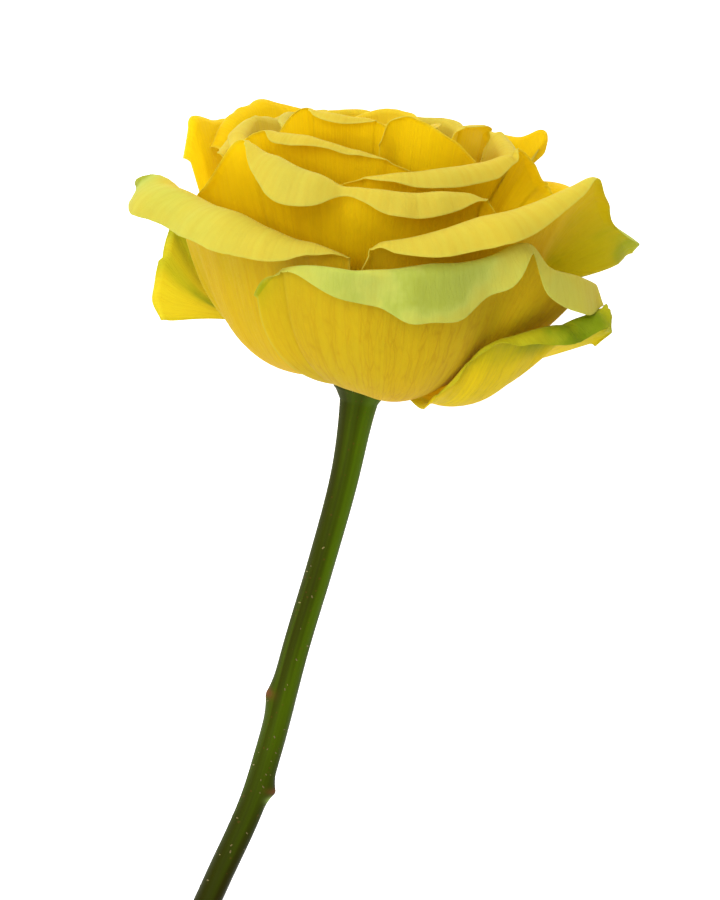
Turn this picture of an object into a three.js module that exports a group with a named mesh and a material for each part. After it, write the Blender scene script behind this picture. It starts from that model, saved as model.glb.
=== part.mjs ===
// A cut rose with a broad open bloom, laid on a surface. It rests on its rearmost petals and on the cut
// end of its stem. Millimetres and degrees. +Z is up and +Y runs from the cut end towards the bloom.
//
// The bloom is drawn in a frame of its own, with its axis along +z. An azimuth is counted round that axis
// from the side that faces up as the rose lies (0), towards +x (90).
import * as THREE from "three";

// ---- Driving dimensions ----
const BLOOM_RADIUS = 60; // from the axis to the widest petal
const BLOOM_HEIGHT = 60; // from the petals' seats to the highest petal
const AXIS_RISE = 13; // the bloom's axis climbs this much from the surface
const AXIS_TURN = 3; // the bloom's axis turns this much from +Y towards +X
const STEM_LENGTH = 177; // from the petals' seats to the cut end
const STEM_THICKNESS = 6.1;
const RECEPTACLE_THICKNESS = 13;
const SEPAL_LENGTH = 10;
const PETAL_THICKNESS = 0.6;
const CLAW_WIDTH = 2.6; // a petal at its narrow base
const SEAT_RADIUS = { inner: 1.6, outer: 7.2 }; // where the first and the last petal are seated
const SEAT_RISE = 7; // the first petal's seat above the last petal's
const CLIMB = { inner: 82, outer: 3 }; // the angle at which the first and the last petal leave their seats

const HEART_SPIRAL = 0.8; // how much further in a heart petal's second side lies than its middle

// How many rows of facets a petal has below its roll and along it.
const HEART_WALL_ROWS = 4;
const WALL_ROWS = 5;
const ROLL_ROWS = 3;

// The radius and the height for which the petals' outlines below are given.
const DRAWN_RADIUS = 60;
const DRAWN_HEIGHT = 60;

// ---- Petals, from the heart outwards ----
// edge: the petal's upper edge from one side to the other, at points of
//   [azimuth, radius, height, lean, roll, turn]
// radius and height are those of the crest, the highest line of the rolled edge. lean is how far the petal
// leans outwards where the roll starts, roll is the length that is rolled back, and turn is how far it turns.
// fold: the share of the roll over which it turns; what is left of it hangs straight.
// climb: the angles at which the petal leaves its seat, from side to side, where they are not those of its
// place in the order.
// belly: how far out the petal runs before it turns upwards, as shares of its reach, from side to side.
// fan: how soon the petal spreads from its claw, from side to side. At 1 it spreads evenly all the way up.
// stand: how far below its edge the petal already has the edge's lean, as a share of its height.
const PETALS = [
  heart("heart_petal_1", { tip: 100, half: 90, radius: 3, height: 53, roll: 1 }),
  heart("heart_petal_2", { tip: 237, half: 98, radius: 5.4, height: 55, roll: 1.2 }),
  heart("heart_petal_3", { tip: 15, half: 90, radius: 7.7, height: 56, roll: 1.6 }),
  heart("inner_petal_1", { tip: 152, half: 80, radius: 9.8, height: 57, roll: 2.2 }),
  heart("inner_petal_2", { tip: 290, half: 75, radius: 12, height: 57.5, roll: 2.4 }),
  heart("inner_petal_3", { tip: 67, half: 72, radius: 14.2, height: 56, roll: 2.6 }),
  heart("inner_petal_4", { tip: 205, half: 68, radius: 16.3, height: 55.5, roll: 2.8 }),
  heart("inner_petal_5", { tip: 342, half: 58, radius: 17.7, height: 56, roll: 2.8 }),
  heart("middle_petal_1", { tip: 125, half: 60, radius: 20, height: 55, roll: 3.6 }),
  heart("middle_petal_2", { tip: 248, half: 48, radius: 21, height: 55, roll: 3.6 }),
  {
    name: "middle_petal_3",
    fold: 0.8,
    edge: [
      [-64, 24, 51, 4, 1, 30],
      [-54, 23.5, 56.5, 6, 1, 40],
      [-45, 22.6, 60.2, 8, 1, 50],
      [-34, 22, 59.6, 10, 4, 120],
      [-18, 21.6, 59.4, 10, 5, 125],
      [-3, 21.3, 59.4, 8, 2.5, 100],
      [5, 21.2, 57.4, 6, 1, 40],
      [12, 21, 53.5, 5, 1, 30],
    ],
  },
  {
    name: "middle_petal_4",
    fold: 0.8,
    edge: [
      [44, 22.8, 52, 4, 1, 30],
      [50, 23.4, 56.5, 6, 1.5, 50],
      [60, 24, 57.6, 8, 3, 90],
      [78, 25, 56, 10, 3, 90],
      [94, 25.4, 53, 10, 2, 60],
      [110, 25.6, 49, 10, 1, 30],
    ],
  },
  {
    name: "middle_petal_5",
    fold: 0.8,
    edge: [
      [3, 23.8, 54.5, 4, 1, 30],
      [8, 24, 59.2, 6, 1.5, 60],
      [14, 24.4, 60.4, 8, 2, 80],
      [21, 24.8, 59.9, 8, 1.5, 60],
      [29, 25.6, 58.2, 8, 1, 40],
      [40, 26.6, 55.5, 8, 1, 40],
      [48, 27.2, 52.6, 8, 1, 30],
      [58, 27.8, 48.5, 8, 1, 30],
    ],
  },
  back("middle_petal_6", { tip: 180, half: 58, radius: 25.3, height: 53.5, roll: 4.5 }),
  back("middle_petal_7", { tip: 245, half: 56, radius: 29.9, height: 53, roll: 5.5 }),
  {
    name: "middle_petal_8",
    fold: 0.8,
    edge: [
      [-68, 33.2, 48, 8, 1.5, 40],
      [-59, 32.6, 52.6, 10, 1.5, 50],
      [-51, 31.7, 55, 12, 1.5, 60],
      [-42, 30.8, 55.4, 14, 6, 120],
      [-33.5, 30.2, 55.7, 14, 7, 125],
      [-21.5, 29.2, 54.8, 12, 4.5, 120],
      [-10, 28.4, 53.6, 12, 4, 120],
      [0, 28.3, 52.5, 12, 2.5, 100],
      [12, 27.9, 50.2, 10, 1.5, 60],
      [28, 28, 47.5, 8, 1.5, 40],
    ],
  },
  back("middle_petal_9", { tip: 118, half: 52, radius: 30, height: 52.5, roll: 6 }),
  {
    name: "middle_petal_10",
    fan: [3.3, 3.3, 1.6, 0.4],
    fold: 0.8,
    edge: [
      [-14, 33.4, 45.5, 10, 1.5, 40],
      [-6, 33.5, 48, 10, 2, 60],
      [4, 33.6, 49.2, 12, 5, 110],
      [16, 33.8, 50, 15, 9, 125],
      [32, 34.4, 51, 20, 10, 125],
      [45, 35.8, 52, 24, 9, 120],
      [53, 37, 53.2, 26, 5, 90],
      [57.5, 38, 53.9, 28, 1.5, 50],
      [63, 39, 50.3, 28, 2, 50],
      [68, 40.5, 46, 30, 3, 60],
      [73, 42.5, 42, 35, 2, 40],
    ],
  },
  back("middle_petal_11", { tip: 200, half: 54, radius: 36, height: 52, roll: 7 }),
  {
    name: "outer_petal_1",
    fold: 0.7,
    edge: [
      [-73, 39.6, 38.5, 12, 2, 50],
      [-59.5, 39.8, 45, 14, 2.5, 60],
      [-46.5, 39.8, 53.8, 18, 1.5, 50],
      [-35, 39.9, 52, 18, 9, 130],
      [-26, 39.9, 50.5, 18, 14, 140],
      [-16, 39.7, 49.2, 17, 12, 140],
      [-6, 39.7, 47.8, 17, 6, 130],
      [3, 39.8, 47, 17, 9, 135],
      [13, 39.7, 46.5, 17, 11, 135],
      [25, 39.9, 46.7, 17, 8, 130],
      [35, 40.2, 45.5, 15, 4, 90],
      [42, 40.2, 42, 12, 2, 50],
    ],
  },
  {
    name: "outer_petal_2",
    fan: [3.3, 3.3, 1.2],
    fold: 0.9,
    edge: [
      [172, 42.5, 43, 20, 5, 80],
      [160, 43, 46.6, 24, 8, 110],
      [147, 43.5, 47.8, 26, 8, 110],
      [140, 45, 48.4, 28, 7, 110],
      [133, 46.5, 48.4, 32, 5, 110],
      [129, 49, 50.4, 36, 3.5, 150],
      [126.5, 47.2, 47, 32, 3, 130],
      [129, 43.5, 41.5, 30, 2.5, 80],
    ],
  },
  {
    name: "outer_petal_3",
    fold: 0.9,
    edge: [
      [236, 43, 44.5, 20, 4, 80],
      [230, 43.5, 49, 20, 5, 90],
      [224.5, 44, 51, 22, 6, 110],
      [220, 44.5, 52.4, 22, 6, 110],
      [215, 45, 53.3, 22, 6.5, 110],
      [209, 44.8, 52.1, 22, 6.5, 110],
      [202, 44, 50.8, 20, 6, 110],
      [190, 43, 47, 18, 4, 80],
    ],
  },
  {
    name: "outer_petal_4",
    climb: [0, -13, -5],
    belly: [0.76, 0.88, 0.85],
    fold: 0.9,
    edge: [
      [-92, 42, 29, 18, 2, 50],
      [-85, 45.4, 37.2, 42, 2.6, 80],
      [-78.5, 48, 41.5, 56, 4.2, 110],
      [-71, 50, 42.7, 60, 4.6, 112],
      [-62.5, 50, 42.6, 52, 14, 125],
      [-53, 48, 41.5, 40, 17.5, 128],
      [-43, 46.6, 40.2, 30, 18.5, 132],
      [-32, 45.5, 38, 24, 18, 135],
      [-21, 44.6, 35.9, 20, 13, 135],
      [-13, 44.2, 34.8, 18, 6, 120],
      [-5, 44, 33, 15, 2.5, 60],
    ],
  },
  {
    name: "outer_petal_5",
    climb: [-6, -6, -6, 45],
    belly: [0.8, 0.8, 0.75, 0.55],
    fan: [3.3, 3.3, 2.4, 0.5],
    fold: 0.9,
    edge: [
      [-1, 46, 31.4, 12, 2, 50],
      [1.8, 46.5, 36, 18, 4, 80],
      [7, 47, 37.6, 24, 9, 115],
      [16, 48, 39.2, 28, 13, 120],
      [27, 49.2, 42, 30, 15, 122],
      [37.5, 51, 44, 32, 14, 120],
      [47, 52.6, 46.5, 36, 10, 110],
      [54, 54.2, 48.6, 42, 6, 90],
      [59.5, 55.6, 50.2, 46, 2, 60],
      [66, 53.8, 45, 50, 3, 70],
      [73, 53.6, 39, 56, 3, 70],
      [81, 56.6, 33.5, 64, 5, 90],
      [88, 57.2, 28.4, 70, 2.5, 60],
    ],
  },
  {
    name: "outer_petal_6",
    fold: 0.9,
    edge: [
      [158, 47, 31, 20, 3, 60],
      [146, 48, 35.5, 26, 6, 90],
      [134, 49.5, 38, 30, 7, 110],
      [122, 50.5, 39, 34, 8, 110],
      [112, 51, 38.2, 36, 6, 90],
      [102, 51, 34, 38, 4, 60],
    ],
  },
  {
    name: "outer_petal_7",
    fold: 0.9,
    edge: [
      [243, 47.4, 42, 22, 2, 50],
      [239, 48.2, 49.9, 24, 2.5, 70],
      [229, 48.8, 48.8, 24, 4, 90],
      [222, 49.2, 48.4, 24, 4, 90],
      [208, 49, 44, 24, 3.5, 80],
      [194, 48.6, 38, 22, 3, 60],
    ],
  },
  {
    name: "outer_petal_8",
    belly: [0.75, 0.75],
    fold: 0.9,
    edge: [
      [212, 58, 31, 18, 2, 30],
      [202, 56.3, 37, 16, 2.5, 40],
      [190, 54.7, 41, 16, 2.5, 40],
      [180, 54, 42.4, 16, 2, 40],
      [170, 54.5, 41, 16, 2.5, 40],
      [158, 56.1, 37, 16, 2.5, 40],
      [147, 58.3, 30, 18, 2, 30],
    ],
  },
  {
    name: "outer_petal_9",
    climb: [-9, -18, -14],
    belly: [0.68, 0.88, 0.5],
    stand: 0.45,
    fold: 0.35,
    edge: [
      [-31, 45.5, 23, 16, 1.2, 30],
      [-25, 46.8, 28.4, 18, 1.6, 50],
      [-17.5, 48, 30.9, 20, 3.4, 110],
      [-6, 49, 31.6, 22, 9, 150],
      [3, 49.6, 31.8, 22, 11, 154],
      [11, 50, 32.2, 22, 14.6, 154],
      [21.5, 50.5, 33, 22, 13.2, 152],
      [32, 51.3, 34.9, 25, 9.6, 145],
      [41, 52, 36.8, 30, 2.5, 100],
      [47, 53, 31.6, 30, 9, 130],
      [56, 54, 29, 34, 10, 130],
      [64, 54.5, 26.5, 38, 7, 110],
    ],
  },
  {
    name: "guard_petal_1",
    climb: [8, 8, 34],
    belly: [0.7, 0.7, 0.6],
    fan: [3.3, 3.3, 1.4],
    fold: 0.6,
    edge: [
      [-142, 44, 18, 14, 2, 40],
      [-128, 46, 25, 20, 3, 50],
      [-115, 47.4, 30, 24, 3, 60],
      [-108, 47.4, 26, 30, 2, 50],
      [-102, 47, 19.5, 42, 2, 50],
      [-97, 46.6, 12.5, 60, 2, 50],
      [-93, 44.5, 8.2, 72, 1.5, 40],
    ],
  },
  {
    name: "guard_petal_2",
    climb: [-18, -22, -8],
    belly: [0.85, 0.85, 0.35],
    fan: [3.3, 3.3, 1.6],
    fold: 0.7,
    edge: [
      [28.5, 29.5, -2.8, 70, 1, 30],
      [31.8, 37.6, 4.8, 55, 1, 30],
      [36.5, 42.5, 12.2, 48, 1.5, 50],
      [40.1, 45.5, 14.8, 44, 3, 80],
      [44.5, 47.5, 16, 42, 6, 90],
      [51, 50.5, 17.6, 44, 9, 100],
      [56, 52.5, 18.4, 46, 9.5, 100],
      [60, 56, 20, 50, 7, 100],
      [64, 58, 21.4, 58, 2, 60],
      [72, 54.5, 15.6, 66, 3, 70],
      [80, 51, 10.1, 72, 1.5, 40],
    ],
  },
  {
    name: "guard_petal_3",
    climb: [-8, -8],
    belly: [0.95, 0.95],
    fold: 0.7,
    edge: [
      [224, 52, 10, 30, 2, 40],
      [207, 50.4, 15.4, 24, 2.5, 50],
      [191, 49.2, 18.4, 22, 3, 50],
      [176, 49, 18.8, 22, 3, 50],
      [160, 50, 16.4, 24, 2.5, 50],
      [144, 52, 11, 30, 2, 40],
    ],
  },
];

/** A petal of the heart: a steep leaf that wraps far round the axis, its edge a little rolled. */
function heart(name, { tip, half, radius, height, roll }) {
  const shares = [-1, -0.6, -0.25, 0, 0.25, 0.6, 1];
  const edge = shares.map((share) => [
    tip + share * half,
    radius - HEART_SPIRAL * share,
    height - 3.2 * Math.abs(share) ** 1.6,
    4,
    roll * (1 - 0.6 * share * share),
    60 + 50 * (1 - Math.abs(share)),
  ]);
  return { name, fold: 0.9, wallRows: HEART_WALL_ROWS, edge };
}

/** A broad petal with a pointed tip and an edge that rolls back on both sides of it. */
function back(name, { tip, half, radius, height, roll }) {
  const shares = [-1, -0.7, -0.4, -0.15, 0, 0.15, 0.4, 0.7, 1];
  const rolled = [0.25, 0.8, 1, 0.6, 0.25, 0.6, 1, 0.8, 0.25];
  const edge = shares.map((share, i) => [
    tip + share * half,
    radius,
    height - 7 * Math.abs(share) ** 1.4,
    16,
    roll * rolled[i],
    50 + 70 * rolled[i],
  ]);
  return { name, fold: 0.85, edge };
}

// ---- Sepals: where each points, and how far it dips under the petals ----
const SEPALS = [
  { azimuth: 0, drop: -0.2 },
  { azimuth: 72, drop: 1.8 },
  { azimuth: 144, drop: 0.2 },
  { azimuth: 216, drop: 0.4 },
  { azimuth: 288, drop: -1.5 },
];
const SEPAL_HALF_WIDTHS = [2.4, 3, 3, 2.3, 1.3, 0.5];
const SEPAL_THICKNESS = 0.7;

// ---- Stem ----
// The receptacle, from its crown down: along the bloom's axis, and the radius as a share of its greatest.
const RECEPTACLE_PROFILE = [
  [6.2, 0.14],
  [3, 0.52],
  [-0.7, 0.95],
  [-2.4, 1],
  [-4.6, 0.92],
];
// The stem's course: how far down it, and how far aside, as shares of its length.
const STEM_COURSE = [
  [0.042, -0.004],
  [0.14, -0.022],
  [0.25, -0.051],
  [0.36, -0.083],
  [0.5, -0.119],
  [0.56, -0.137],
  [0.68, -0.189],
  [0.82, -0.25],
  [0.9, -0.278],
  [1, -0.302],
];
const STEM_NODES = [
  { at: 0.389, towards: 0, swell: 0.2 },
  { at: 0.535, towards: 180, swell: 0.24 },
  { at: 0.81, towards: 30, swell: 0.2 },
];
const STEM_SIDES = 12;
const STEM_STEPS = 24;
const CUT_SLANT = 1.1; // how far the cut runs along the stem, over how far across it

const PETAL_COLOR = 0xf3d13a;
const GUARD_COLOR = 0xb9bf42;
const SEPAL_COLOR = 0x5c7a1e;
const STEM_COLOR = 0x4b6501;

const degrees = THREE.MathUtils.degToRad;
const mix = THREE.MathUtils.lerp;

/** The value at t, from 0 to 1, on a smooth curve through evenly spaced knots. */
function smooth(knots, t) {
  const last = knots.length - 1;
  const at = Math.min(t * last, last - 1e-9);
  const i = Math.floor(at);
  const s = at - i;
  const p = (k) => knots[Math.min(Math.max(k, 0), last)];
  const rise = (k) => (k <= 0 || k >= last ? (p(k + 1) - p(k - 1)) * 0.5 : (p(k + 1) - p(k - 1)) / 2);
  const s2 = s * s;
  const s3 = s2 * s;
  return (
    (2 * s3 - 3 * s2 + 1) * p(i) +
    (s3 - 2 * s2 + s) * rise(i) +
    (3 * s2 - 2 * s3) * p(i + 1) +
    (s3 - s2) * rise(i + 1)
  );
}

/** How far a roll has gone after a length of it: up along the petal's lean, and out from it. */
function rolled(length, roll, turn, fold) {
  const bent = roll * fold;
  const bow = bent / turn;
  const angle = Math.min(length, bent) / bow;
  const straight = Math.max(length - bent, 0);
  return {
    up: bow * Math.sin(angle) + straight * Math.cos(turn),
    out: bow * (1 - Math.cos(angle)) + straight * Math.sin(turn),
  };
}

/** The same in the bloom's own radius and height, for a petal that leans. */
function rolledOnLean(length, roll, turn, fold, lean) {
  const { up, out } = rolled(length, roll, turn, fold);
  return { radius: up * Math.sin(lean) + out * Math.cos(lean), height: up * Math.cos(lean) - out * Math.sin(lean) };
}

/** Where the roll starts on one column of a petal, worked back from the crest. */
function columnAt(petal, t) {
  const [azimuth, crest, top, lean, roll, turn] = [0, 1, 2, 3, 4, 5].map((k) => smooth(petal.edge.map((e) => e[k]), t));
  const column = {
    share: t,
    azimuth: degrees(azimuth),
    lean: degrees(lean),
    roll: Math.max(roll, 0.8),
    turn: degrees(Math.max(turn, 10)),
  };
  const steps = 24;
  let highest = { radius: 0, height: 0 };
  for (let i = 1; i <= steps; i++) {
    const gone = rolledOnLean((column.roll * i) / steps, column.roll, column.turn, petal.fold, column.lean);
    if (gone.height > highest.height) highest = gone;
  }
  column.radius = (crest * BLOOM_RADIUS) / DRAWN_RADIUS - highest.radius;
  column.height = (top * BLOOM_HEIGHT) / DRAWN_HEIGHT - highest.height;
  return column;
}

/** A petal's sheet as rows of points, from its claw to its outer edge, and the normals there. */
function petalSheet(petal, order, wallRows) {
  const place = order ** 0.8;
  const seat = {
    radius: mix(SEAT_RADIUS.inner, SEAT_RADIUS.outer, place),
    height: SEAT_RISE * (1 - place),
  };
  const climb = mix(CLIMB.inner, CLIMB.outer, place);
  const climbs = petal.climb ?? [climb, climb];
  const bellies = petal.belly ?? [0.72, 0.72];
  const fans = petal.fan ?? [3.3, 3.3];
  const stand = petal.stand ?? 0.42;
  const first = petal.edge[0][0];
  const last = petal.edge.at(-1)[0];
  const middle = degrees((first + last) / 2);
  const half = degrees(Math.abs(last - first) / 2);
  const claw = Math.min(CLAW_WIDTH / 2 / seat.radius / half, 0.7);

  const wallPoint = (column, v) => {
    const leaving = degrees(smooth(climbs, column.share));
    const reach = smooth(bellies, column.share) * (column.radius - seat.radius);
    const draw = stand * (column.height - seat.height);
    const radii = [
      seat.radius,
      seat.radius + reach * Math.cos(leaving),
      column.radius - draw * Math.sin(column.lean),
      column.radius,
    ];
    const heights = [
      seat.height,
      seat.height + Math.max(reach, 6) * Math.sin(leaving),
      column.height - draw * Math.cos(column.lean),
      column.height,
    ];
    const bend = [(1 - v) ** 3, 3 * v * (1 - v) ** 2, 3 * v * v * (1 - v), v ** 3];
    const radius = radii.reduce((sum, r, i) => sum + r * bend[i], 0);
    const height = heights.reduce((sum, h, i) => sum + h * bend[i], 0);
    const spread = mix(claw, 1, 1 - (1 - v) ** smooth(fans, column.share));
    const azimuth = middle + (column.azimuth - middle) * spread;
    return new THREE.Vector3(radius * Math.sin(azimuth), -radius * Math.cos(azimuth), height);
  };

  const rows = [];
  const columns = petal.edge.length - 1;
  const strip = petal.edge.map((_, i) => columnAt(petal, i / columns));
  for (let j = 0; j <= wallRows; j++) {
    rows.push(strip.map((column) => wallPoint(column, j / wallRows)));
  }
  const start = rows[wallRows];
  const rolls = strip.map((column, i) => {
    const along = start[Math.min(i + 1, columns)].clone().sub(start[Math.max(i - 1, 0)]).normalize();
    const up = start[i].clone().sub(wallPoint(column, 0.97)).normalize();
    up.addScaledVector(along, -0.6 * up.dot(along)).normalize();
    const radial = new THREE.Vector3(Math.sin(column.azimuth), -Math.cos(column.azimuth), 0);
    const out = radial.addScaledVector(up, -radial.dot(up)).normalize();
    return { up, out };
  });
  for (let j = 1; j <= ROLL_ROWS; j++) {
    const share = j < ROLL_ROWS ? (petal.fold * j) / (ROLL_ROWS - 1) : 1;
    rows.push(
      strip.map((column, i) => {
        const gone = rolled(column.roll * share, column.roll, column.turn, petal.fold);
        return start[i].clone().addScaledVector(rolls[i].up, gone.up).addScaledVector(rolls[i].out, gone.out);
      }),
    );
  }
  return rows;
}

/** A sepal's sheet: a short pointed leaf that lies against the outer petals from below. */
function sepalSheet({ azimuth, drop }) {
  const direction = degrees(azimuth);
  const outwards = new THREE.Vector3(Math.sin(direction), -Math.cos(direction), 0);
  const sideways = new THREE.Vector3(Math.cos(direction), Math.sin(direction), 0);
  const foot = RECEPTACLE_THICKNESS / 2 + 0.4;
  const course = new THREE.CubicBezierCurve3(
    new THREE.Vector3(foot, 0, -2.4),
    new THREE.Vector3(foot + SEPAL_LENGTH * 0.3, 0, -2.4 - drop),
    new THREE.Vector3(foot + SEPAL_LENGTH * 0.7, 0, -2.6 - drop),
    new THREE.Vector3(foot + SEPAL_LENGTH, 0, -1.6 - drop),
  );
  return SEPAL_HALF_WIDTHS.map((half, j) => {
    const { x: reach, z: height } = course.getPoint(j / (SEPAL_HALF_WIDTHS.length - 1));
    return [-1, -0.5, 0, 0.5, 1].map((share) =>
      outwards
        .clone()
        .multiplyScalar(reach)
        .addScaledVector(sideways, share * half)
        .setZ(height + 0.12 * half * share * share),
    );
  });
}

/** A geometry from its corners and its triangles. */
function solid(positions, index) {
  const geometry = new THREE.BufferGeometry();
  geometry.setAttribute("position", new THREE.Float32BufferAttribute(positions, 3));
  geometry.setIndex(index);
  return geometry;
}

/** A closed solid of even thickness round a sheet that is given as rows of points. */
function sheetSolid(rows, thickness) {
  const height = rows.length;
  const width = rows[0].length;
  const at = (j, i) => rows[Math.min(Math.max(j, 0), height - 1)][Math.min(Math.max(i, 0), width - 1)];
  const positions = [];
  for (const side of [0.5, -0.5]) {
    for (let j = 0; j < height; j++) {
      for (let i = 0; i < width; i++) {
        const across = at(j, i + 1).clone().sub(at(j, i - 1));
        const along = at(j + 1, i).clone().sub(at(j - 1, i));
        const normal = across.cross(along).normalize();
        positions.push(...at(j, i).clone().addScaledVector(normal, side * thickness).toArray());
      }
    }
  }
  const index = [];
  const quad = (a, b, c, d) => index.push(a, b, c, a, c, d);
  const front = (j, i) => j * width + i;
  const rear = (j, i) => (height + j) * width + i;
  for (let j = 0; j + 1 < height; j++) {
    for (let i = 0; i + 1 < width; i++) {
      quad(front(j, i), front(j, i + 1), front(j + 1, i + 1), front(j + 1, i));
      quad(rear(j, i), rear(j + 1, i), rear(j + 1, i + 1), rear(j, i + 1));
    }
  }
  for (let i = 0; i + 1 < width; i++) {
    quad(front(0, i + 1), front(0, i), rear(0, i), rear(0, i + 1));
    quad(front(height - 1, i), front(height - 1, i + 1), rear(height - 1, i + 1), rear(height - 1, i));
  }
  for (let j = 0; j + 1 < height; j++) {
    quad(front(j, 0), front(j + 1, 0), rear(j + 1, 0), rear(j, 0));
    quad(front(j + 1, width - 1), front(j, width - 1), rear(j, width - 1), rear(j + 1, width - 1));
  }
  return solid(positions, index);
}

/** The stem with the receptacle at its top, down to the slanted cut. It is drawn where it lies. */
function stemSolid(axis) {
  const receptacle = RECEPTACLE_THICKNESS / 2;
  const slim = STEM_THICKNESS / 2;
  const fall = Math.sin(degrees(AXIS_RISE));
  const rings = [];
  for (const [along, radius] of RECEPTACLE_PROFILE) {
    rings.push({ centre: axis.clone().multiplyScalar(along), radius: radius * receptacle });
  }
  const course = new THREE.CatmullRomCurve3(
    STEM_COURSE.map(([down, aside]) => {
      const far = down * STEM_LENGTH;
      return new THREE.Vector3(aside * STEM_LENGTH, -far * Math.cos(degrees(AXIS_RISE)), -far * fall);
    }),
  );
  for (let i = 0; i <= STEM_STEPS; i++) {
    const t = i / STEM_STEPS;
    const flare = (receptacle * 0.66 - slim) * Math.exp(-t / 0.06);
    rings.push({ centre: course.getPoint(t), radius: slim + flare, t });
  }

  const positions = [];
  const index = [];
  const last = rings.length - 1;
  rings.forEach(({ centre, radius, t }, j) => {
    const ahead = rings[Math.min(j + 1, last)].centre.clone();
    const tangent = ahead.sub(rings[Math.max(j - 1, 0)].centre).normalize();
    const side = tangent.clone().cross(new THREE.Vector3(0, 0, 1)).normalize();
    const top = side.clone().cross(tangent).normalize();
    for (let k = 0; k < STEM_SIDES; k++) {
      const angle = (2 * Math.PI * k) / STEM_SIDES;
      let swell = 1;
      for (const node of STEM_NODES) {
        const facing = Math.max(Math.cos(angle - degrees(node.towards)), 0) ** 2;
        if (t !== undefined) swell += node.swell * facing * Math.exp(-(((t - node.at) / 0.016) ** 2));
      }
      const cut = j === last ? -CUT_SLANT * radius * Math.sin(angle) : 0;
      const point = centre
        .clone()
        .addScaledVector(side, radius * swell * Math.cos(angle))
        .addScaledVector(top, radius * swell * Math.sin(angle))
        .addScaledVector(tangent, cut);
      positions.push(...point.toArray());
    }
  });
  for (let j = 0; j < last; j++) {
    for (let k = 0; k < STEM_SIDES; k++) {
      const next = (k + 1) % STEM_SIDES;
      const [a, b] = [j * STEM_SIDES + k, j * STEM_SIDES + next];
      index.push(a, b + STEM_SIDES, b, a, a + STEM_SIDES, b + STEM_SIDES);
    }
  }
  const crown = positions.length / 3;
  positions.push(...rings[0].centre.toArray(), ...rings[last].centre.toArray());
  for (let k = 0; k < STEM_SIDES; k++) {
    const next = (k + 1) % STEM_SIDES;
    index.push(crown, k, next, crown + 1, last * STEM_SIDES + next, last * STEM_SIDES + k);
  }
  return solid(positions, index);
}

function part(name, geometry, color) {
  const mesh = new THREE.Mesh(geometry, new THREE.MeshStandardMaterial({ color, roughness: 0.6, metalness: 0 }));
  mesh.name = name;
  return mesh;
}

const bloom = new THREE.Group();
PETALS.forEach((petal, i) => {
  const rows = petalSheet(petal, i / (PETALS.length - 1), petal.wallRows ?? WALL_ROWS);
  const color = petal.name.startsWith("guard") ? GUARD_COLOR : PETAL_COLOR;
  bloom.add(part(petal.name, sheetSolid(rows, PETAL_THICKNESS), color));
});
SEPALS.forEach((sepal, i) => {
  bloom.add(part(`sepal_${i + 1}`, sheetSolid(sepalSheet(sepal), SEPAL_THICKNESS), SEPAL_COLOR));
});
bloom.rotation.set(degrees(AXIS_RISE - 90), 0, -degrees(AXIS_TURN), "ZXY");
bloom.updateMatrix();

const axis = new THREE.Vector3(0, 0, 1).applyMatrix4(bloom.matrix);
const rose = new THREE.Group();
rose.add(bloom, part("stem", stemSolid(axis), STEM_COLOR));

const box = new THREE.Box3().setFromObject(rose, true);
const centre = box.getCenter(new THREE.Vector3());
rose.position.set(-centre.x, -centre.y, -box.min.z);

export default rose;
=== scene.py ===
"""A cut yellow rose with a broad open bloom, laid on a plain pale floor.

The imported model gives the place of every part. Each petal, the stem and the sepals are built again
here at a fine scale in the same places, and take the place of their plain solids.
"""

import logging
import math
from dataclasses import dataclass, field
from enum import Enum

import bmesh
import bpy
import numpy as np
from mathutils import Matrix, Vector


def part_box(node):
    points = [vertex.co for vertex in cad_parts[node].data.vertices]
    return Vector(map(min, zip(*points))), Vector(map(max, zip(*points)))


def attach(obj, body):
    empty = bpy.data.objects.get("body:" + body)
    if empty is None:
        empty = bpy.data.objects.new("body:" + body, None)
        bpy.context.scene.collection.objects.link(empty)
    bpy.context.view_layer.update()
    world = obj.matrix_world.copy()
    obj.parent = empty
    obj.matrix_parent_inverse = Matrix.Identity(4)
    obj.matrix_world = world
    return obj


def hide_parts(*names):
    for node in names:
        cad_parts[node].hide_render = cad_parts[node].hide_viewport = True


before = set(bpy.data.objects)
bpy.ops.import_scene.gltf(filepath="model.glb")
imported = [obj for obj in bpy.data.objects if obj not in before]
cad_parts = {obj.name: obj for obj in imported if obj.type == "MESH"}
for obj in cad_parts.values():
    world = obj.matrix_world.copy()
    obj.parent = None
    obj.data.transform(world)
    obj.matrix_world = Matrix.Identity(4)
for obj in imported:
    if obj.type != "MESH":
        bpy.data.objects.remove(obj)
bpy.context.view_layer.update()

LOG = logging.getLogger("rose")
MM = 0.001  # metres
FLOOR_GAP = 0.05  # millimetres that the rose is kept above the floor

Array = np.ndarray


class Slot(Enum):
    """The record's material slots."""

    PETAL = "petal"
    INNER_PETAL = "inner_petal"
    GUARD_PETAL = "guard_petal"
    SEPAL = "sepal_leaf"
    STEM = "stem_skin"


def between(first: Array, last: Array, leaving: Array, arriving: Array, s: Array) -> Array:
    """A cubic curve from one value to another with a given slope at each end, read at s."""
    s2, s3 = s * s, s * s * s
    return (
        (2 * s3 - 3 * s2 + 1) * first
        + (s3 - 2 * s2 + s) * leaving
        + (3 * s2 - 2 * s3) * last
        + (s3 - s2) * arriving
    )


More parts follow.
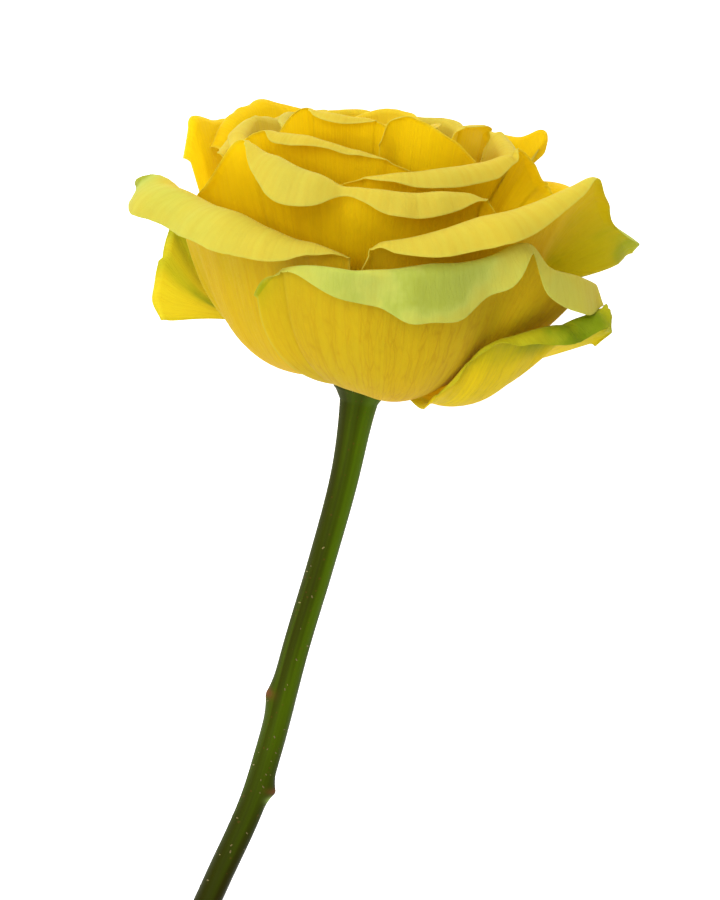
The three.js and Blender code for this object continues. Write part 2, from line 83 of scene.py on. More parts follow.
def smooth(knots: Array, t: Array) -> Array:
    """Reads a smooth curve through evenly spaced knots.

    Args:
        knots: The values at the knots.
        t: Where to read it, from 0 at the first knot to 1 at the last.

    Returns:
        The values at t.
    """
    last = len(knots) - 1
    at = np.minimum(np.asarray(t, float) * last, last - 1e-9)
    i = np.floor(at).astype(int)
    s = at - i

    def knot(k: Array) -> Array:
        """The value at knot k, held at both ends."""
        return knots[np.clip(k, 0, last)]

    rise = (knot(i + 1) - knot(i - 1)) / 2
    next_rise = (knot(i + 2) - knot(i)) / 2
    return between(knot(i), knot(i + 1), rise, next_rise, s)


def ease(low: float, high: float, value: Array) -> Array:
    """A soft step of value, 0 below low and 1 above high."""
    x = np.clip((value - low) / (high - low), 0, 1)
    return x * x * (3 - 2 * x)


def bezier(ends: list[Array | float], v: Array | float) -> Array:
    """A cubic Bezier curve through four control values, read at v."""
    bend = [(1 - v) ** 3, 3 * v * (1 - v) ** 2, 3 * v * v * (1 - v), v**3]
    return sum(value * share for value, share in zip(ends, bend))


def unit(vectors: Array) -> Array:
    """The vectors at length 1."""
    return vectors / np.maximum(np.linalg.norm(vectors, axis=-1, keepdims=True), 1e-12)


def grid_normals(points: Array) -> Array:
    """The normals of a grid of points, across its rows first and then along its columns."""
    across = np.gradient(points, axis=1)
    along = np.gradient(points, axis=0)
    return unit(np.cross(across, along))


# ---- The petals' edges ----


@dataclass(frozen=True)
class Patch:
    """A zone of a petal: its middle and spread across the petal, how deep it starts, and its strength.

    Depth runs from -1 at the claw through 0, where the roll starts, to 1 at the rim.
    """

    at: float
    spread: float
    start: float
    strength: float = 1.0


@dataclass(frozen=True)
class Fold:
    """A soft crease that runs up a petal.

    at, width and drift are shares of the petal's width, height is in millimetres, and start is the depth at
    which it sets in.
    """

    at: float
    width: float
    height: float
    start: float = -0.6
    drift: float = 0.0


@dataclass(frozen=True)
class Lobe:
    """A wave in the length of a petal's rolled edge.

    at and width are shares of the petal's width, and length is in millimetres.
    """

    at: float
    width: float
    length: float


@dataclass(frozen=True)
class Petal:
    """One petal, in millimetres and degrees.

    edge holds azimuth, radius, height, lean, roll and turn at points of the upper edge. fold is the share
    of the roll over which it turns. climb and belly shape the wall below, fan is how soon it spreads from
    its claw, and stand is how far down the wall keeps the edge's lean. ripple is the height of the edge's
    waves, ragged is how uneven the roll's length is, veined is how far the veins show, and the number after
    it is how far painted shade dulls the outer face. lobes, folds, crumples and flushes are waves in the
    roll's length, creases, crumpled zones and green zones.
    """

    name: str
    edge: tuple[tuple[float, ...], ...]
    fold: float = 0.9
    climb: tuple[float, ...] = ()
    belly: tuple[float, ...] = (0.72, 0.72)
    fan: tuple[float, ...] = (3.3, 3.3)
    stand: float = 0.42
    ripple: float = 0.45
    ragged: float = 0.1
    veined: float = 0.15
    # Painted shade: how far the outer face is dulled in colour, given to the front petals that face away
    # from the light.
    painted_shade: float = 0.0
    lobes: tuple[Lobe, ...] = ()
    folds: tuple[Fold, ...] = ()
    crumples: tuple[Patch, ...] = ()
    flushes: tuple[Patch, ...] = ()


def heart_petal(name: str, tip: float, half: float, radius: float, height: float, roll: float) -> Petal:
    """A steep petal of the heart that wraps far round the axis, its edge a little rolled."""
    edge = tuple(
        (
            tip + share * half,
            radius - 0.8 * share,
            height - 3.2 * abs(share) ** 1.6,
            4,
            roll * (1 - 0.6 * share * share),
            60 + 50 * (1 - abs(share)),
        )
        for share in (-1, -0.6, -0.25, 0, 0.25, 0.6, 1)
    )
    return Petal(name, edge, fold=0.9, ripple=0.3)


def back_petal(name: str, tip: float, half: float, radius: float, height: float, roll: float) -> Petal:
    """A broad petal with a pointed tip and an edge that rolls back on both sides of it."""
    shares = (-1, -0.7, -0.4, -0.15, 0, 0.15, 0.4, 0.7, 1)
    rolls = (0.25, 0.8, 1, 0.6, 0.25, 0.6, 1, 0.8, 0.25)
    edge = tuple(
        (tip + share * half, radius, height - 7 * abs(share) ** 1.4, 16, roll * rolled, 50 + 70 * rolled)
        for share, rolled in zip(shares, rolls)
    )
    return Petal(name, edge, fold=0.85)


PETALS = (
    heart_petal("heart_petal_1", tip=100, half=90, radius=3, height=53, roll=1),
    heart_petal("heart_petal_2", tip=237, half=98, radius=5.4, height=55, roll=1.2),
    heart_petal("heart_petal_3", tip=15, half=90, radius=7.7, height=56, roll=1.6),
    heart_petal("inner_petal_1", tip=152, half=80, radius=9.8, height=57, roll=2.2),
    heart_petal("inner_petal_2", tip=290, half=75, radius=12, height=57.5, roll=2.4),
    heart_petal("inner_petal_3", tip=67, half=72, radius=14.2, height=56, roll=2.6),
    heart_petal("inner_petal_4", tip=205, half=68, radius=16.3, height=55.5, roll=2.8),
    heart_petal("inner_petal_5", tip=342, half=58, radius=17.7, height=56, roll=2.8),
    heart_petal("middle_petal_1", tip=125, half=60, radius=20, height=55, roll=3.6),
    heart_petal("middle_petal_2", tip=248, half=48, radius=21, height=55, roll=3.6),
    Petal(
        "middle_petal_3",
        edge=(
            (-64, 24, 51, 4, 1, 30), (-54, 23.5, 56.5, 6, 1, 40), (-45, 22.6, 60.2, 8, 1, 50),
            (-34, 22, 59.6, 10, 4, 120), (-18, 21.6, 59.4, 10, 5, 125), (-3, 21.3, 59.4, 8, 2.5, 100),
            (5, 21.2, 57.4, 6, 1, 40), (12, 21, 53.5, 5, 1, 30),
        ),
        fold=0.8,
        ripple=0.9,
    ),
    Petal(
        "middle_petal_4",
        edge=(
            (44, 22.8, 52, 4, 1, 30), (50, 23.4, 56.5, 6, 1.5, 50), (60, 24, 57.6, 8, 3, 90),
            (78, 25, 56, 10, 3, 90), (94, 25.4, 53, 10, 2, 60), (110, 25.6, 49, 10, 1, 30),
        ),
        fold=0.8,
    ),
    Petal(
        "middle_petal_5",
        edge=(
            (3, 23.8, 54.5, 4, 1, 30), (8, 24, 59.2, 6, 1.5, 60), (14, 24.4, 60.4, 8, 2, 80),
            (21, 24.8, 59.9, 8, 1.5, 60), (29, 25.6, 58.2, 8, 1, 40), (40, 26.6, 55.5, 8, 1, 40),
            (48, 27.2, 52.6, 8, 1, 30), (58, 27.8, 48.5, 8, 1, 30),
        ),
        fold=0.8,
    ),
    back_petal("middle_petal_6", tip=180, half=58, radius=25.3, height=53.5, roll=4.5),
    back_petal("middle_petal_7", tip=245, half=56, radius=29.9, height=53, roll=5.5),
    Petal(
        "middle_petal_8",
        edge=(
            (-68, 33.2, 48, 8, 1.5, 40), (-59, 32.6, 52.6, 10, 1.5, 50), (-51, 31.7, 55, 12, 1.5, 60),
            (-42, 30.8, 55.4, 14, 6, 120), (-33.5, 30.2, 55.7, 14, 7, 125),
            (-21.5, 29.2, 54.8, 12, 4.5, 120), (-10, 28.4, 53.6, 12, 4, 120), (0, 28.3, 52.5, 12, 2.5, 100),
            (12, 27.9, 50.2, 10, 1.5, 60), (28, 28, 47.5, 8, 1.5, 40),
        ),
        fold=0.8,
    ),
    back_petal("middle_petal_9", tip=118, half=52, radius=30, height=52.5, roll=6),
    Petal(
        "middle_petal_10",
        edge=(
            (-14, 33.4, 45.5, 10, 1.5, 40), (-6, 33.5, 48, 10, 2, 60), (4, 33.6, 49.2, 12, 5, 110),
            (16, 33.8, 50, 15, 9, 125), (32, 34.4, 51, 20, 10, 125), (45, 35.8, 52, 24, 9, 120),
            (53, 37, 53.2, 26, 5, 90), (57.5, 38, 53.9, 28, 1.5, 50), (63, 39, 50.3, 28, 2, 50),
            (68, 40.5, 46, 30, 3, 60), (73, 42.5, 42, 35, 2, 40),
        ),
        fan=(3.3, 3.3, 1.6, 0.4),
        fold=0.8,
        ripple=0.5,
        folds=(Fold(0.66, 0.035, 1.2, -0.5, -0.06), Fold(0.8, 0.04, -0.9, -0.4)),
    ),
    back_petal("middle_petal_11", tip=200, half=54, radius=36, height=52, roll=7),
    Petal(
        "outer_petal_1",
        edge=(
            (-73, 39.6, 38.5, 12, 2, 50), (-59.5, 39.8, 45, 14, 2.5, 60), (-46.5, 39.8, 53.8, 18, 1.5, 50),
            (-35, 39.9, 52, 18, 9, 130), (-26, 39.9, 50.5, 18, 14, 140), (-16, 39.7, 49.2, 17, 12, 140),
            (-6, 39.7, 47.8, 17, 6, 130), (3, 39.8, 47, 17, 9, 135), (13, 39.7, 46.5, 17, 11, 135),
            (25, 39.9, 46.7, 17, 8, 130), (35, 40.2, 45.5, 15, 4, 90), (42, 40.2, 42, 12, 2, 50),
        ),
        fold=0.7,
        ripple=0.5,
        lobes=(Lobe(0.36, 0.06, 1.5), Lobe(0.52, 0.04, -2.2)),
        folds=(Fold(0.52, 0.035, 0.8, -0.1), Fold(0.3, 0.05, -0.6, -0.6)),
        flushes=(Patch(0.38, 0.16, 0.1, 0.2),),
    ),
    Petal(
        "outer_petal_2",
        edge=(
            (172, 42.5, 43, 20, 5, 80), (160, 43, 46.6, 24, 8, 110), (147, 43.5, 47.8, 26, 8, 110),
            (140, 45, 48.4, 28, 7, 110), (133, 46.5, 48.4, 32, 5, 110), (129, 49, 50.4, 36, 3.5, 150),
            (126.5, 47.2, 47, 32, 3, 130), (129, 43.5, 41.5, 30, 2.5, 80),
        ),
        fan=(3.3, 3.3, 1.2),
        fold=0.9,
    ),
    Petal(
        "outer_petal_3",
        edge=(
            (236, 43, 44.5, 20, 4, 80), (230, 43.5, 49, 20, 5, 90), (224.5, 44, 51, 22, 6, 110),
            (220, 44.5, 52.4, 22, 6, 110), (215, 45, 53.3, 22, 6.5, 110), (209, 44.8, 52.1, 22, 6.5, 110),
            (202, 44, 50.8, 20, 6, 110), (190, 43, 47, 18, 4, 80),
        ),
        fold=0.9,
    ),
    Petal(
        "outer_petal_4",
        edge=(
            (-92, 42, 29, 18, 2, 50), (-85, 45.4, 37.2, 42, 2.6, 80), (-78.5, 48, 41.5, 56, 4.2, 110),
            (-71, 50, 42.7, 60, 4.6, 112), (-62.5, 50, 42.6, 52, 14, 125), (-53, 48, 41.5, 40, 17.5, 128),
            (-43, 46.6, 40.2, 30, 18.5, 132), (-32, 45.5, 38, 24, 18, 135), (-21, 44.6, 35.9, 20, 13, 135),
            (-13, 44.2, 34.8, 18, 6, 120), (-5, 44, 33, 15, 2.5, 60),
        ),
        climb=(0, -13, -5),
        belly=(0.76, 0.88, 0.85),
        fold=0.9,
        painted_shade=1.0,
        ripple=0.5,
        veined=0.3,
        lobes=(Lobe(0.48, 0.08, 0.8),),
        folds=(Fold(0.35, 0.05, -0.8, -0.7), Fold(0.55, 0.06, 0.6, -0.6)),
        crumples=(Patch(0.3, 0.07, -0.4, 2.4),),
        flushes=(Patch(0.3, 0.045, -0.1, 2.2), Patch(0.45, 0.28, 0.35, 0.4)),
    ),
    Petal(
        "outer_petal_5",
        edge=(
            (-1, 46, 31.4, 12, 2, 50), (1.8, 46.5, 36, 18, 4, 80), (7, 47, 37.6, 24, 9, 115),
            (16, 48, 39.2, 28, 13, 120), (27, 49.2, 42, 30, 15, 122), (37.5, 51, 44, 32, 14, 120),
            (47, 52.6, 46.5, 36, 10, 110), (54, 54.2, 48.6, 42, 6, 90), (59.5, 55.6, 50.2, 46, 2, 60),
            (66, 53.8, 45, 50, 3, 70), (73, 53.6, 39, 56, 3, 70), (81, 56.6, 33.5, 64, 5, 90),
            (88, 57.2, 28.4, 70, 2.5, 60),
        ),
        climb=(-6, -6, -6, 45),
        belly=(0.8, 0.8, 0.75, 0.55),
        fan=(3.3, 3.3, 2.4, 0.5),
        fold=0.9,
        painted_shade=0.8,
        ripple=0.45,
        lobes=(Lobe(0.3, 0.06, 0.8), Lobe(0.47, 0.06, -0.8)),
        folds=(Fold(0.78, 0.04, -0.7, -0.3),),
        flushes=(Patch(0.68, 0.06, 0.0, 0.4), Patch(0.92, 0.14, -0.4, 0.75)),
    ),
    Petal(
        "outer_petal_6",
        edge=(
            (158, 47, 31, 20, 3, 60), (146, 48, 35.5, 26, 6, 90), (134, 49.5, 38, 30, 7, 110),
            (122, 50.5, 39, 34, 8, 110), (112, 51, 38.2, 36, 6, 90), (102, 51, 34, 38, 4, 60),
        ),
        fold=0.9,
    ),
    Petal(
        "outer_petal_7",
        edge=(
            (243, 47.4, 42, 22, 2, 50), (239, 48.2, 49.9, 24, 2.5, 70), (229, 48.8, 48.8, 24, 4, 90),
            (222, 49.2, 48.4, 24, 4, 90), (208, 49, 44, 24, 3.5, 80), (194, 48.6, 38, 22, 3, 60),
        ),
        fold=0.9,
    ),
    Petal(
        "outer_petal_8",
        edge=(
            (212, 58, 31, 18, 2, 30), (202, 56.3, 37, 16, 2.5, 40), (190, 54.7, 41, 16, 2.5, 40),
            (180, 54, 42.4, 16, 2, 40), (170, 54.5, 41, 16, 2.5, 40), (158, 56.1, 37, 16, 2.5, 40),
            (147, 58.3, 30, 18, 2, 30),
        ),
        belly=(0.75, 0.75),
        fold=0.9,
    ),
    Petal(
        "outer_petal_9",
        edge=(
            (-31, 45.5, 23, 16, 1.2, 30), (-25, 46.8, 28.4, 18, 1.6, 50), (-17.5, 48, 30.9, 20, 3.4, 110),
            (-6, 49, 31.6, 22, 9, 150), (3, 49.6, 31.8, 22, 11, 154), (11, 50, 32.2, 22, 14.6, 154),
            (21.5, 50.5, 33, 22, 13.2, 152), (32, 51.3, 34.9, 25, 9.6, 145), (41, 52, 36.8, 30, 2.5, 100),
            (47, 53, 31.6, 30, 9, 130), (56, 54, 29, 34, 10, 130), (64, 54.5, 26.5, 38, 7, 110),
        ),
        climb=(-9, -18, -14),
        belly=(0.68, 0.88, 0.5),
        stand=0.45,
        fold=0.35,
        painted_shade=1.0,
        ripple=0.9,
        ragged=0.17,
        veined=0.6,
        lobes=(
            Lobe(0.3, 0.05, -1.5), Lobe(0.42, 0.035, -1.2), Lobe(0.52, 0.05, 1.3), Lobe(0.6, 0.03, -1.3),
            Lobe(0.7, 0.05, 0.6),
        ),
        folds=(
            Fold(0.5, 0.05, -0.9, -0.35), Fold(0.3, 0.04, 0.5, -0.5), Fold(0.68, 0.05, -0.6, -0.5),
            Fold(0.36, 0.025, 0.7, 0.1), Fold(0.45, 0.03, -0.9, 0.1), Fold(0.56, 0.03, 0.8, 0.1),
        ),
        flushes=(Patch(0.44, 0.45, 0.1, 0.85), Patch(0.06, 0.1, -0.1, 0.4)),
    ),
    Petal(
        "guard_petal_1",
        edge=(
            (-142, 44, 18, 14, 2, 40), (-128, 46, 25, 20, 3, 50), (-115, 47.4, 30, 24, 3, 60),
            (-108, 47.4, 26, 30, 2, 50), (-102, 47, 19.5, 42, 2, 50), (-97, 46.6, 12.5, 60, 2, 50),
            (-93, 44.5, 8.2, 72, 1.5, 40),
        ),
        climb=(8, 8, 34),
        belly=(0.7, 0.7, 0.6),
        fan=(3.3, 3.3, 1.4),
        fold=0.6,
        ripple=0.9,
        veined=0.5,
        folds=(Fold(0.45, 0.06, 0.9, -0.8),),
        flushes=(Patch(0.42, 0.14, -0.3, 0.85), Patch(0.66, 0.05, -0.6, 0.6), Patch(0.2, 0.1, -0.2, 0.6)),
    ),
    Petal(
        "guard_petal_2",
        edge=(
            (28.5, 29.5, -2.8, 70, 1, 30), (31.8, 37.6, 4.8, 55, 1, 30), (36.5, 42.5, 12.2, 48, 1.5, 50),
            (40.1, 45.5, 14.8, 44, 3, 80), (44.5, 47.5, 16, 42, 6, 90), (51, 50.5, 17.6, 44, 9, 100),
            (56, 52.5, 18.4, 46, 9.5, 100), (60, 56, 20, 50, 7, 100), (64, 58, 21.4, 58, 2, 60),
            (72, 54.5, 15.6, 66, 3, 70), (80, 51, 10.1, 72, 1.5, 40),
        ),
        climb=(-18, -22, -8),
        belly=(0.85, 0.85, 0.35),
        fan=(3.3, 3.3, 1.6),
        fold=0.7,
        ripple=0.8,
        veined=0.5,
        folds=(Fold(0.6, 0.05, 0.8, -0.3),),
        crumples=(Patch(0.85, 0.08, 0.0, 1.2),),
        flushes=(Patch(0.6, 0.4, -0.2, 0.95),),
    ),
    Petal(
        "guard_petal_3",
        edge=(
            (224, 52, 10, 30, 2, 40), (207, 50.4, 15.4, 24, 2.5, 50), (191, 49.2, 18.4, 22, 3, 50),
            (176, 49, 18.8, 22, 3, 50), (160, 50, 16.4, 24, 2.5, 50), (144, 52, 11, 30, 2, 40),
        ),
        climb=(-8, -8),
        belly=(0.95, 0.95),
        fold=0.7,
        flushes=(Patch(0.5, 0.3, -0.4, 0.6),),
    ),
)


# ---- Building meshes ----


@dataclass
class Shell:
    """A thin closed shell round a sheet of points, with what its finish needs at each point."""

    sheet: Array
    half: Array
    values: dict[str, Array]
    across: Array
    along: Array

    def mesh(self, name: str, place: "Placement", floor: float) -> bpy.types.Mesh:
        """Builds the shell in the row's frame.

        Args:
            name: The mesh's name.
            place: Where the sheet's own frame lies.
            floor: The lowest height allowed, in millimetres.

        Returns:
            The mesh, with smooth faces, float attributes and a UV map.
        """
        rows, columns = self.sheet.shape[:2]
        normals = grid_normals(self.sheet)
        offset = normals * self.half[..., None]
        outer = (self.sheet + offset).reshape(-1, 3)
        inner = (self.sheet - offset).reshape(-1, 3)
        loop = self._boundary(rows, columns)
        j, i = loop[:, 0], loop[:, 1]
        inside = self.sheet[np.clip(j, 1, rows - 2), np.clip(i, 1, columns - 2)]
        rim = self.sheet[j, i] + unit(self.sheet[j, i] - inside) * (self.half[j, i] * 0.9)[:, None]
        points = place.apply(np.concatenate([outer, inner, rim]))
        points[:, 2] = np.maximum(points[:, 2], floor)

        count = rows * columns
        a = (np.arange(rows - 1)[:, None] * columns + np.arange(columns - 1)[None, :]).ravel()
        front = np.stack([a, a + 1, a + columns + 1, a + columns], axis=1)
        back = np.stack([a, a + columns, a + columns + 1, a + 1], axis=1) + count
        edge = j * columns + i
        ring = np.arange(len(edge))
        following = np.roll(ring, -1)
        upper = np.stack([edge[following], edge, 2 * count + ring, 2 * count + following], axis=1)
        lower = np.stack([edge, edge[following]], axis=1) + count
        lower = np.stack([2 * count + following, 2 * count + ring, lower[:, 0], lower[:, 1]], axis=1)
        faces = np.concatenate([front, back, upper, lower])

        mesh = bpy.data.meshes.new(name)
        mesh.from_pydata(points * MM, [], faces.tolist())
        mesh.polygons.foreach_set("use_smooth", np.ones(len(faces), bool))
        per_point = {key: np.concatenate([v.ravel(), v.ravel(), v[j, i]]) for key, v in self.values.items()}
        per_point["inner_face"] = np.concatenate([np.zeros(count), np.ones(count), np.full(len(edge), 0.5)])
        for key, value in per_point.items():
            add_float(mesh, key, value)
        u = np.concatenate([self.across.ravel(), self.across.ravel(), self.across[j, i]])
        v = np.concatenate([self.along.ravel(), self.along.ravel(), self.along[j, i]])
        add_uv(mesh, np.stack([u, v], axis=1))
        mesh.validate()
        mesh.update()
        return mesh

    @staticmethod
    def _boundary(rows: int, columns: int) -> Array:
        """The row and column of each point on the sheet's boundary, once round it."""
        first = [(0, i) for i in range(columns)]
        right = [(j, columns - 1) for j in range(1, rows)]
        top = [(rows - 1, i) for i in range(columns - 2, -1, -1)]
        left = [(j, 0) for j in range(rows - 2, 0, -1)]
        return np.array(first + right + top + left)


def add_float(mesh: bpy.types.Mesh, name: str, values: Array) -> None:
    """Stores one number at each point of a mesh."""
    layer = mesh.attributes.new(name, "FLOAT", "POINT")
    layer.data.foreach_set("value", np.asarray(values, np.float32))


def add_uv(mesh: bpy.types.Mesh, uv: Array) -> None:
    """Gives a mesh a UV map from a pair of numbers at each point."""
    corners = np.empty(len(mesh.loops), np.int32)
    mesh.loops.foreach_get("vertex_index", corners)
    layer = mesh.uv_layers.new(name="UVMap")
    layer.data.foreach_set("uv", uv[corners].astype(np.float32).ravel())


@dataclass(frozen=True)
class Placement:
    """Where a frame lies in the row's frame.

    rise and turn are its axis's own, in degrees, and origin is in millimetres.
    """

    rise: float
    turn: float
    origin: tuple[float, float, float]

    def apply(self, points: Array) -> Array:
        """The points in the row's frame."""
        tilt = math.radians(self.rise - 90)
        turn = -math.radians(self.turn)
        x, y, z = points.T
        y, z = y * math.cos(tilt) - z * math.sin(tilt), y * math.sin(tilt) + z * math.cos(tilt)
        x, y = x * math.cos(turn) - y * math.sin(turn), x * math.sin(turn) + y * math.cos(turn)
        return np.stack([x, y, z], axis=1) + np.array(self.origin)


def in_scene(name: str, data: bpy.types.ID) -> bpy.types.Object:
    """A new object in the scene that shows the data."""
    made = bpy.data.objects.new(name, data)
    bpy.context.scene.collection.objects.link(made)
    return made


def piece(name: str, mesh: bpy.types.Mesh, material: bpy.types.Material) -> bpy.types.Object:
    """Puts a mesh in the scene as an object with one material."""
    if not mesh.materials:
        mesh.materials.append(material)
    return in_scene(name, mesh)


def keep(made: bpy.types.Object, slot: Slot, *nodes: str) -> bpy.types.Object:
    """Makes a piece ride with the rose, hides the solids it stands for, and reports it with its slot.

    Args:
        made: The piece.
        slot: The material slot of its finish.
        nodes: The solids that it takes the place of.

    Returns:
        The piece.
    """
    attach(made, "root")
    if nodes:
        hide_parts(*nodes)
    LOG.info("%s: %d faces, slot %s", made.name, len(made.data.polygons), slot.value)
    return made


# ---- Shader nodes ----


@dataclass
class Nodes:
    """A node tree under construction."""

    tree: bpy.types.NodeTree

    def add(
        self, kind: str, inputs: dict[str | int, object] | None = None, **settings: object
    ) -> bpy.types.Node:
        """Adds a node.

        Args:
            kind: The node's type.
            inputs: A value or another node's output for each input, by name or number.
            settings: Properties of the node itself.

        Returns:
            The node.
        """
        node = self.tree.nodes.new(kind)
        for key, value in settings.items():
            setattr(node, key, value)
        for key, value in (inputs or {}).items():
            socket = node.inputs[key]
            if isinstance(value, bpy.types.NodeSocket):
                self.tree.links.new(value, socket)
            else:
                socket.default_value = value
        return node

    def math(
        self, operation: str, first: object, second: object, clamp: bool = False
    ) -> bpy.types.NodeSocket:
        """The result of a sum on two numbers or sockets."""
        node = self.add("ShaderNodeMath", {0: first, 1: second}, operation=operation, use_clamp=clamp)
        return node.outputs[0]

    def mix(self, factor: object, first: object, second: object) -> bpy.types.NodeSocket:
        """The mix of two colours by a factor."""
        inputs = {"Factor": factor, 6: first, 7: second}
        return self.add("ShaderNodeMix", inputs, data_type="RGBA").outputs[2]

    def span(
        self, value: object, low: float, high: float, out_low: float = 0.0, out_high: float = 1.0
    ) -> bpy.types.NodeSocket:
        """The value moved smoothly from one range to another."""
        inputs = {"Value": value, "From Min": low, "From Max": high, "To Min": out_low, "To Max": out_high}
        return self.add("ShaderNodeMapRange", inputs, interpolation_type="SMOOTHSTEP").outputs[0]

    def vector(self, operation: str, first: object, second: object) -> bpy.types.NodeSocket:
        """The result of a sum on two vectors, or on a vector and the number that scales it."""
        other = "Scale" if operation == "SCALE" else 1
        return self.add("ShaderNodeVectorMath", {0: first, other: second}, operation=operation).outputs[0]

    def group(
        self, tree: bpy.types.NodeTree, inputs: dict[str | int, object] | None = None
    ) -> bpy.types.Node:
        """One of the shader groups, with its own values."""
        return self.add("ShaderNodeGroup", inputs, node_tree=tree)

    def product(self, first: object, second: object) -> bpy.types.NodeSocket:
        """The product of two numbers or sockets."""
        return self.math("MULTIPLY", first, second)

    def bump(self, height: object, strength: float, distance: float) -> bpy.types.NodeSocket:
        """The normal of a surface that is raised by a height."""
        values = {"Strength": strength, "Distance": distance, "Height": height}
        return self.add("ShaderNodeBump", values).outputs[0]

    def attribute(self, name: str) -> bpy.types.NodeSocket:
        """A number stored on the mesh."""
        return self.add("ShaderNodeAttribute", attribute_name=name).outputs["Fac"]


def group_of(
    name: str, inputs: list[tuple[str, str, object]], outputs: list[tuple[str, str]]
) -> tuple[Nodes, bpy.types.Node, bpy.types.Node]:
    """Starts a shader node group.

    Args:
        name: The group's name.
        inputs: The name, kind and value at first of each input.
        outputs: The name and kind of each output.

    Returns:
        The tree's nodes, its input node and its output node.
    """
    tree = bpy.data.node_groups.new(name, "ShaderNodeTree")
    for label, kind, value in inputs:
        tree.interface.new_socket(label, in_out="INPUT", socket_type=kind).default_value = value
    for label, kind in outputs:
        tree.interface.new_socket(label, in_out="OUTPUT", socket_type=kind)
    nodes = Nodes(tree)
    return nodes, nodes.add("NodeGroupInput"), nodes.add("NodeGroupOutput")


FLOAT = "NodeSocketFloat"


def stretched(nodes: Nodes, uv: bpy.types.NodeSocket, given: bpy.types.Node) -> bpy.types.NodeSocket:
    """A place on the surface, scaled by the group's Across and Along."""
    scales = {0: given.outputs["Across"], 1: given.outputs["Along"]}
    return nodes.vector("MULTIPLY", uv, nodes.add("ShaderNodeCombineXYZ", scales).outputs[0])


def net_of(
    nodes: Nodes, uv: bpy.types.NodeSocket, scale: float, width: bpy.types.NodeSocket
) -> bpy.types.NodeSocket:
    """The walls between cells, as a mask that fades over a width."""
    look = {"Vector": uv, "Scale": scale}
    cells = nodes.add("ShaderNodeTexVoronoi", look, feature="DISTANCE_TO_EDGE").outputs[0]
    return nodes.math("SUBTRACT", 1.0, nodes.math("DIVIDE", cells, width, clamp=True))


def vein_group() -> bpy.types.NodeTree:
    """Veins that run up from a leaf's base and join into a fine net, as a mask and a height."""
    inputs = [
        ("Across", FLOAT, 64.0),
        ("Along", FLOAT, 10.0),
        ("Waver", FLOAT, 0.03),
        ("Width", FLOAT, 0.14),
    ]
    nodes, given, out = group_of("leaf_veins", inputs, [("Mask", FLOAT), ("Height", FLOAT)])
    uv = nodes.add("ShaderNodeTexCoord").outputs["UV"]
    bend = nodes.add("ShaderNodeTexNoise", {"Vector": uv, "Scale": 7.0, "Detail": 2.0}).outputs["Color"]
    bend = nodes.vector("SUBTRACT", bend, (0.5, 0.5, 0.5))
    uv = nodes.vector("ADD", uv, nodes.vector("SCALE", bend, given.outputs["Waver"]))
    uv = stretched(nodes, uv, given)
    net = net_of(nodes, uv, 1.0, given.outputs["Width"])
    fine = net_of(nodes, uv, 2.6, given.outputs["Width"])
    mask = nodes.math("MAXIMUM", net, nodes.product(fine, 0.45))
    nodes.tree.links.new(mask, out.inputs["Mask"])
    nodes.tree.links.new(nodes.product(mask, mask), out.inputs["Height"])
    return nodes.tree


def streak_group() -> bpy.types.NodeTree:
    """Fine lines that run from a petal's base to its rim, as a mask."""
    inputs = [("Across", FLOAT, 70.0), ("Along", FLOAT, 2.2), ("Sharpness", FLOAT, 0.5)]
    nodes, given, out = group_of("petal_streaks", inputs, [("Mask", FLOAT)])
    uv = nodes.add("ShaderNodeTexCoord").outputs["UV"]
    uv = stretched(nodes, uv, given)
    look = {"Vector": uv, "Scale": 1.0, "Detail": 5.0, "Roughness": given.outputs["Sharpness"]}
    lines = nodes.add("ShaderNodeTexNoise", look).outputs[0]
    nodes.tree.links.new(nodes.span(lines, 0.3, 0.7), out.inputs["Mask"])
    return nodes.tree


def speck_group() -> bpy.types.NodeTree:
    """Scattered small marks, as a mask that a zone of the surface can hold back."""
    inputs = [("Scale", FLOAT, 400.0), ("Amount", FLOAT, 0.3), ("Zone", FLOAT, 1.0)]
    nodes, given, out = group_of("small_marks", inputs, [("Mask", FLOAT)])
    place = nodes.add("ShaderNodeTexCoord").outputs["Object"]
    dots = nodes.add("ShaderNodeTexVoronoi", {"Vector": place, "Scale": given.outputs["Scale"]})
    size = nodes.product(given.outputs["Amount"], dots.outputs["Color"])
    mark = nodes.math("SUBTRACT", size, dots.outputs["Distance"])
    mask = nodes.product(nodes.span(mark, 0.0, 0.08), given.outputs["Zone"])
    nodes.tree.links.new(mask, out.inputs["Mask"])
    return nodes.tree


def mottle_group() -> bpy.types.NodeTree:
    """Soft uneven colour and a fine grain, as a broad mask and a height."""
    inputs = [("Broad", FLOAT, 60.0), ("Fine", FLOAT, 1600.0)]
    nodes, given, out = group_of("soft_mottle", inputs, [("Mask", FLOAT), ("Grain", FLOAT)])
    place = nodes.add("ShaderNodeTexCoord").outputs["Object"]
    broad, fine = (
        nodes.add("ShaderNodeTexNoise", {"Vector": place, "Scale": given.outputs[size], "Detail": detail})
        for size, detail in (("Broad", 4.0), ("Fine", 3.0))
    )
    nodes.tree.links.new(nodes.span(broad.outputs[0], 0.3, 0.7), out.inputs["Mask"])
    nodes.tree.links.new(fine.outputs[0], out.inputs["Grain"])
    return nodes.tree


@dataclass(frozen=True)
class Effects:
    """The shader groups that more than one finish uses."""

    veins: bpy.types.NodeTree
    streaks: bpy.types.NodeTree
    specks: bpy.types.NodeTree
    mottle: bpy.types.NodeTree

    @classmethod
    def make(cls) -> "Effects":
        """Builds each group once."""
        return cls(vein_group(), streak_group(), speck_group(), mottle_group())


Colour = tuple[float, float, float, float]


def srgb(red: int, green: int, blue: int) -> Colour:
    """A colour on the 0 to 255 scale as the linear light that shaders take."""
    parts = [c / 255 for c in (red, green, blue)]
    return (*[c / 12.92 if c <= 0.04045 else ((c + 0.055) / 1.055) ** 2.4 for c in parts], 1.0)


# ---- Finishes ----


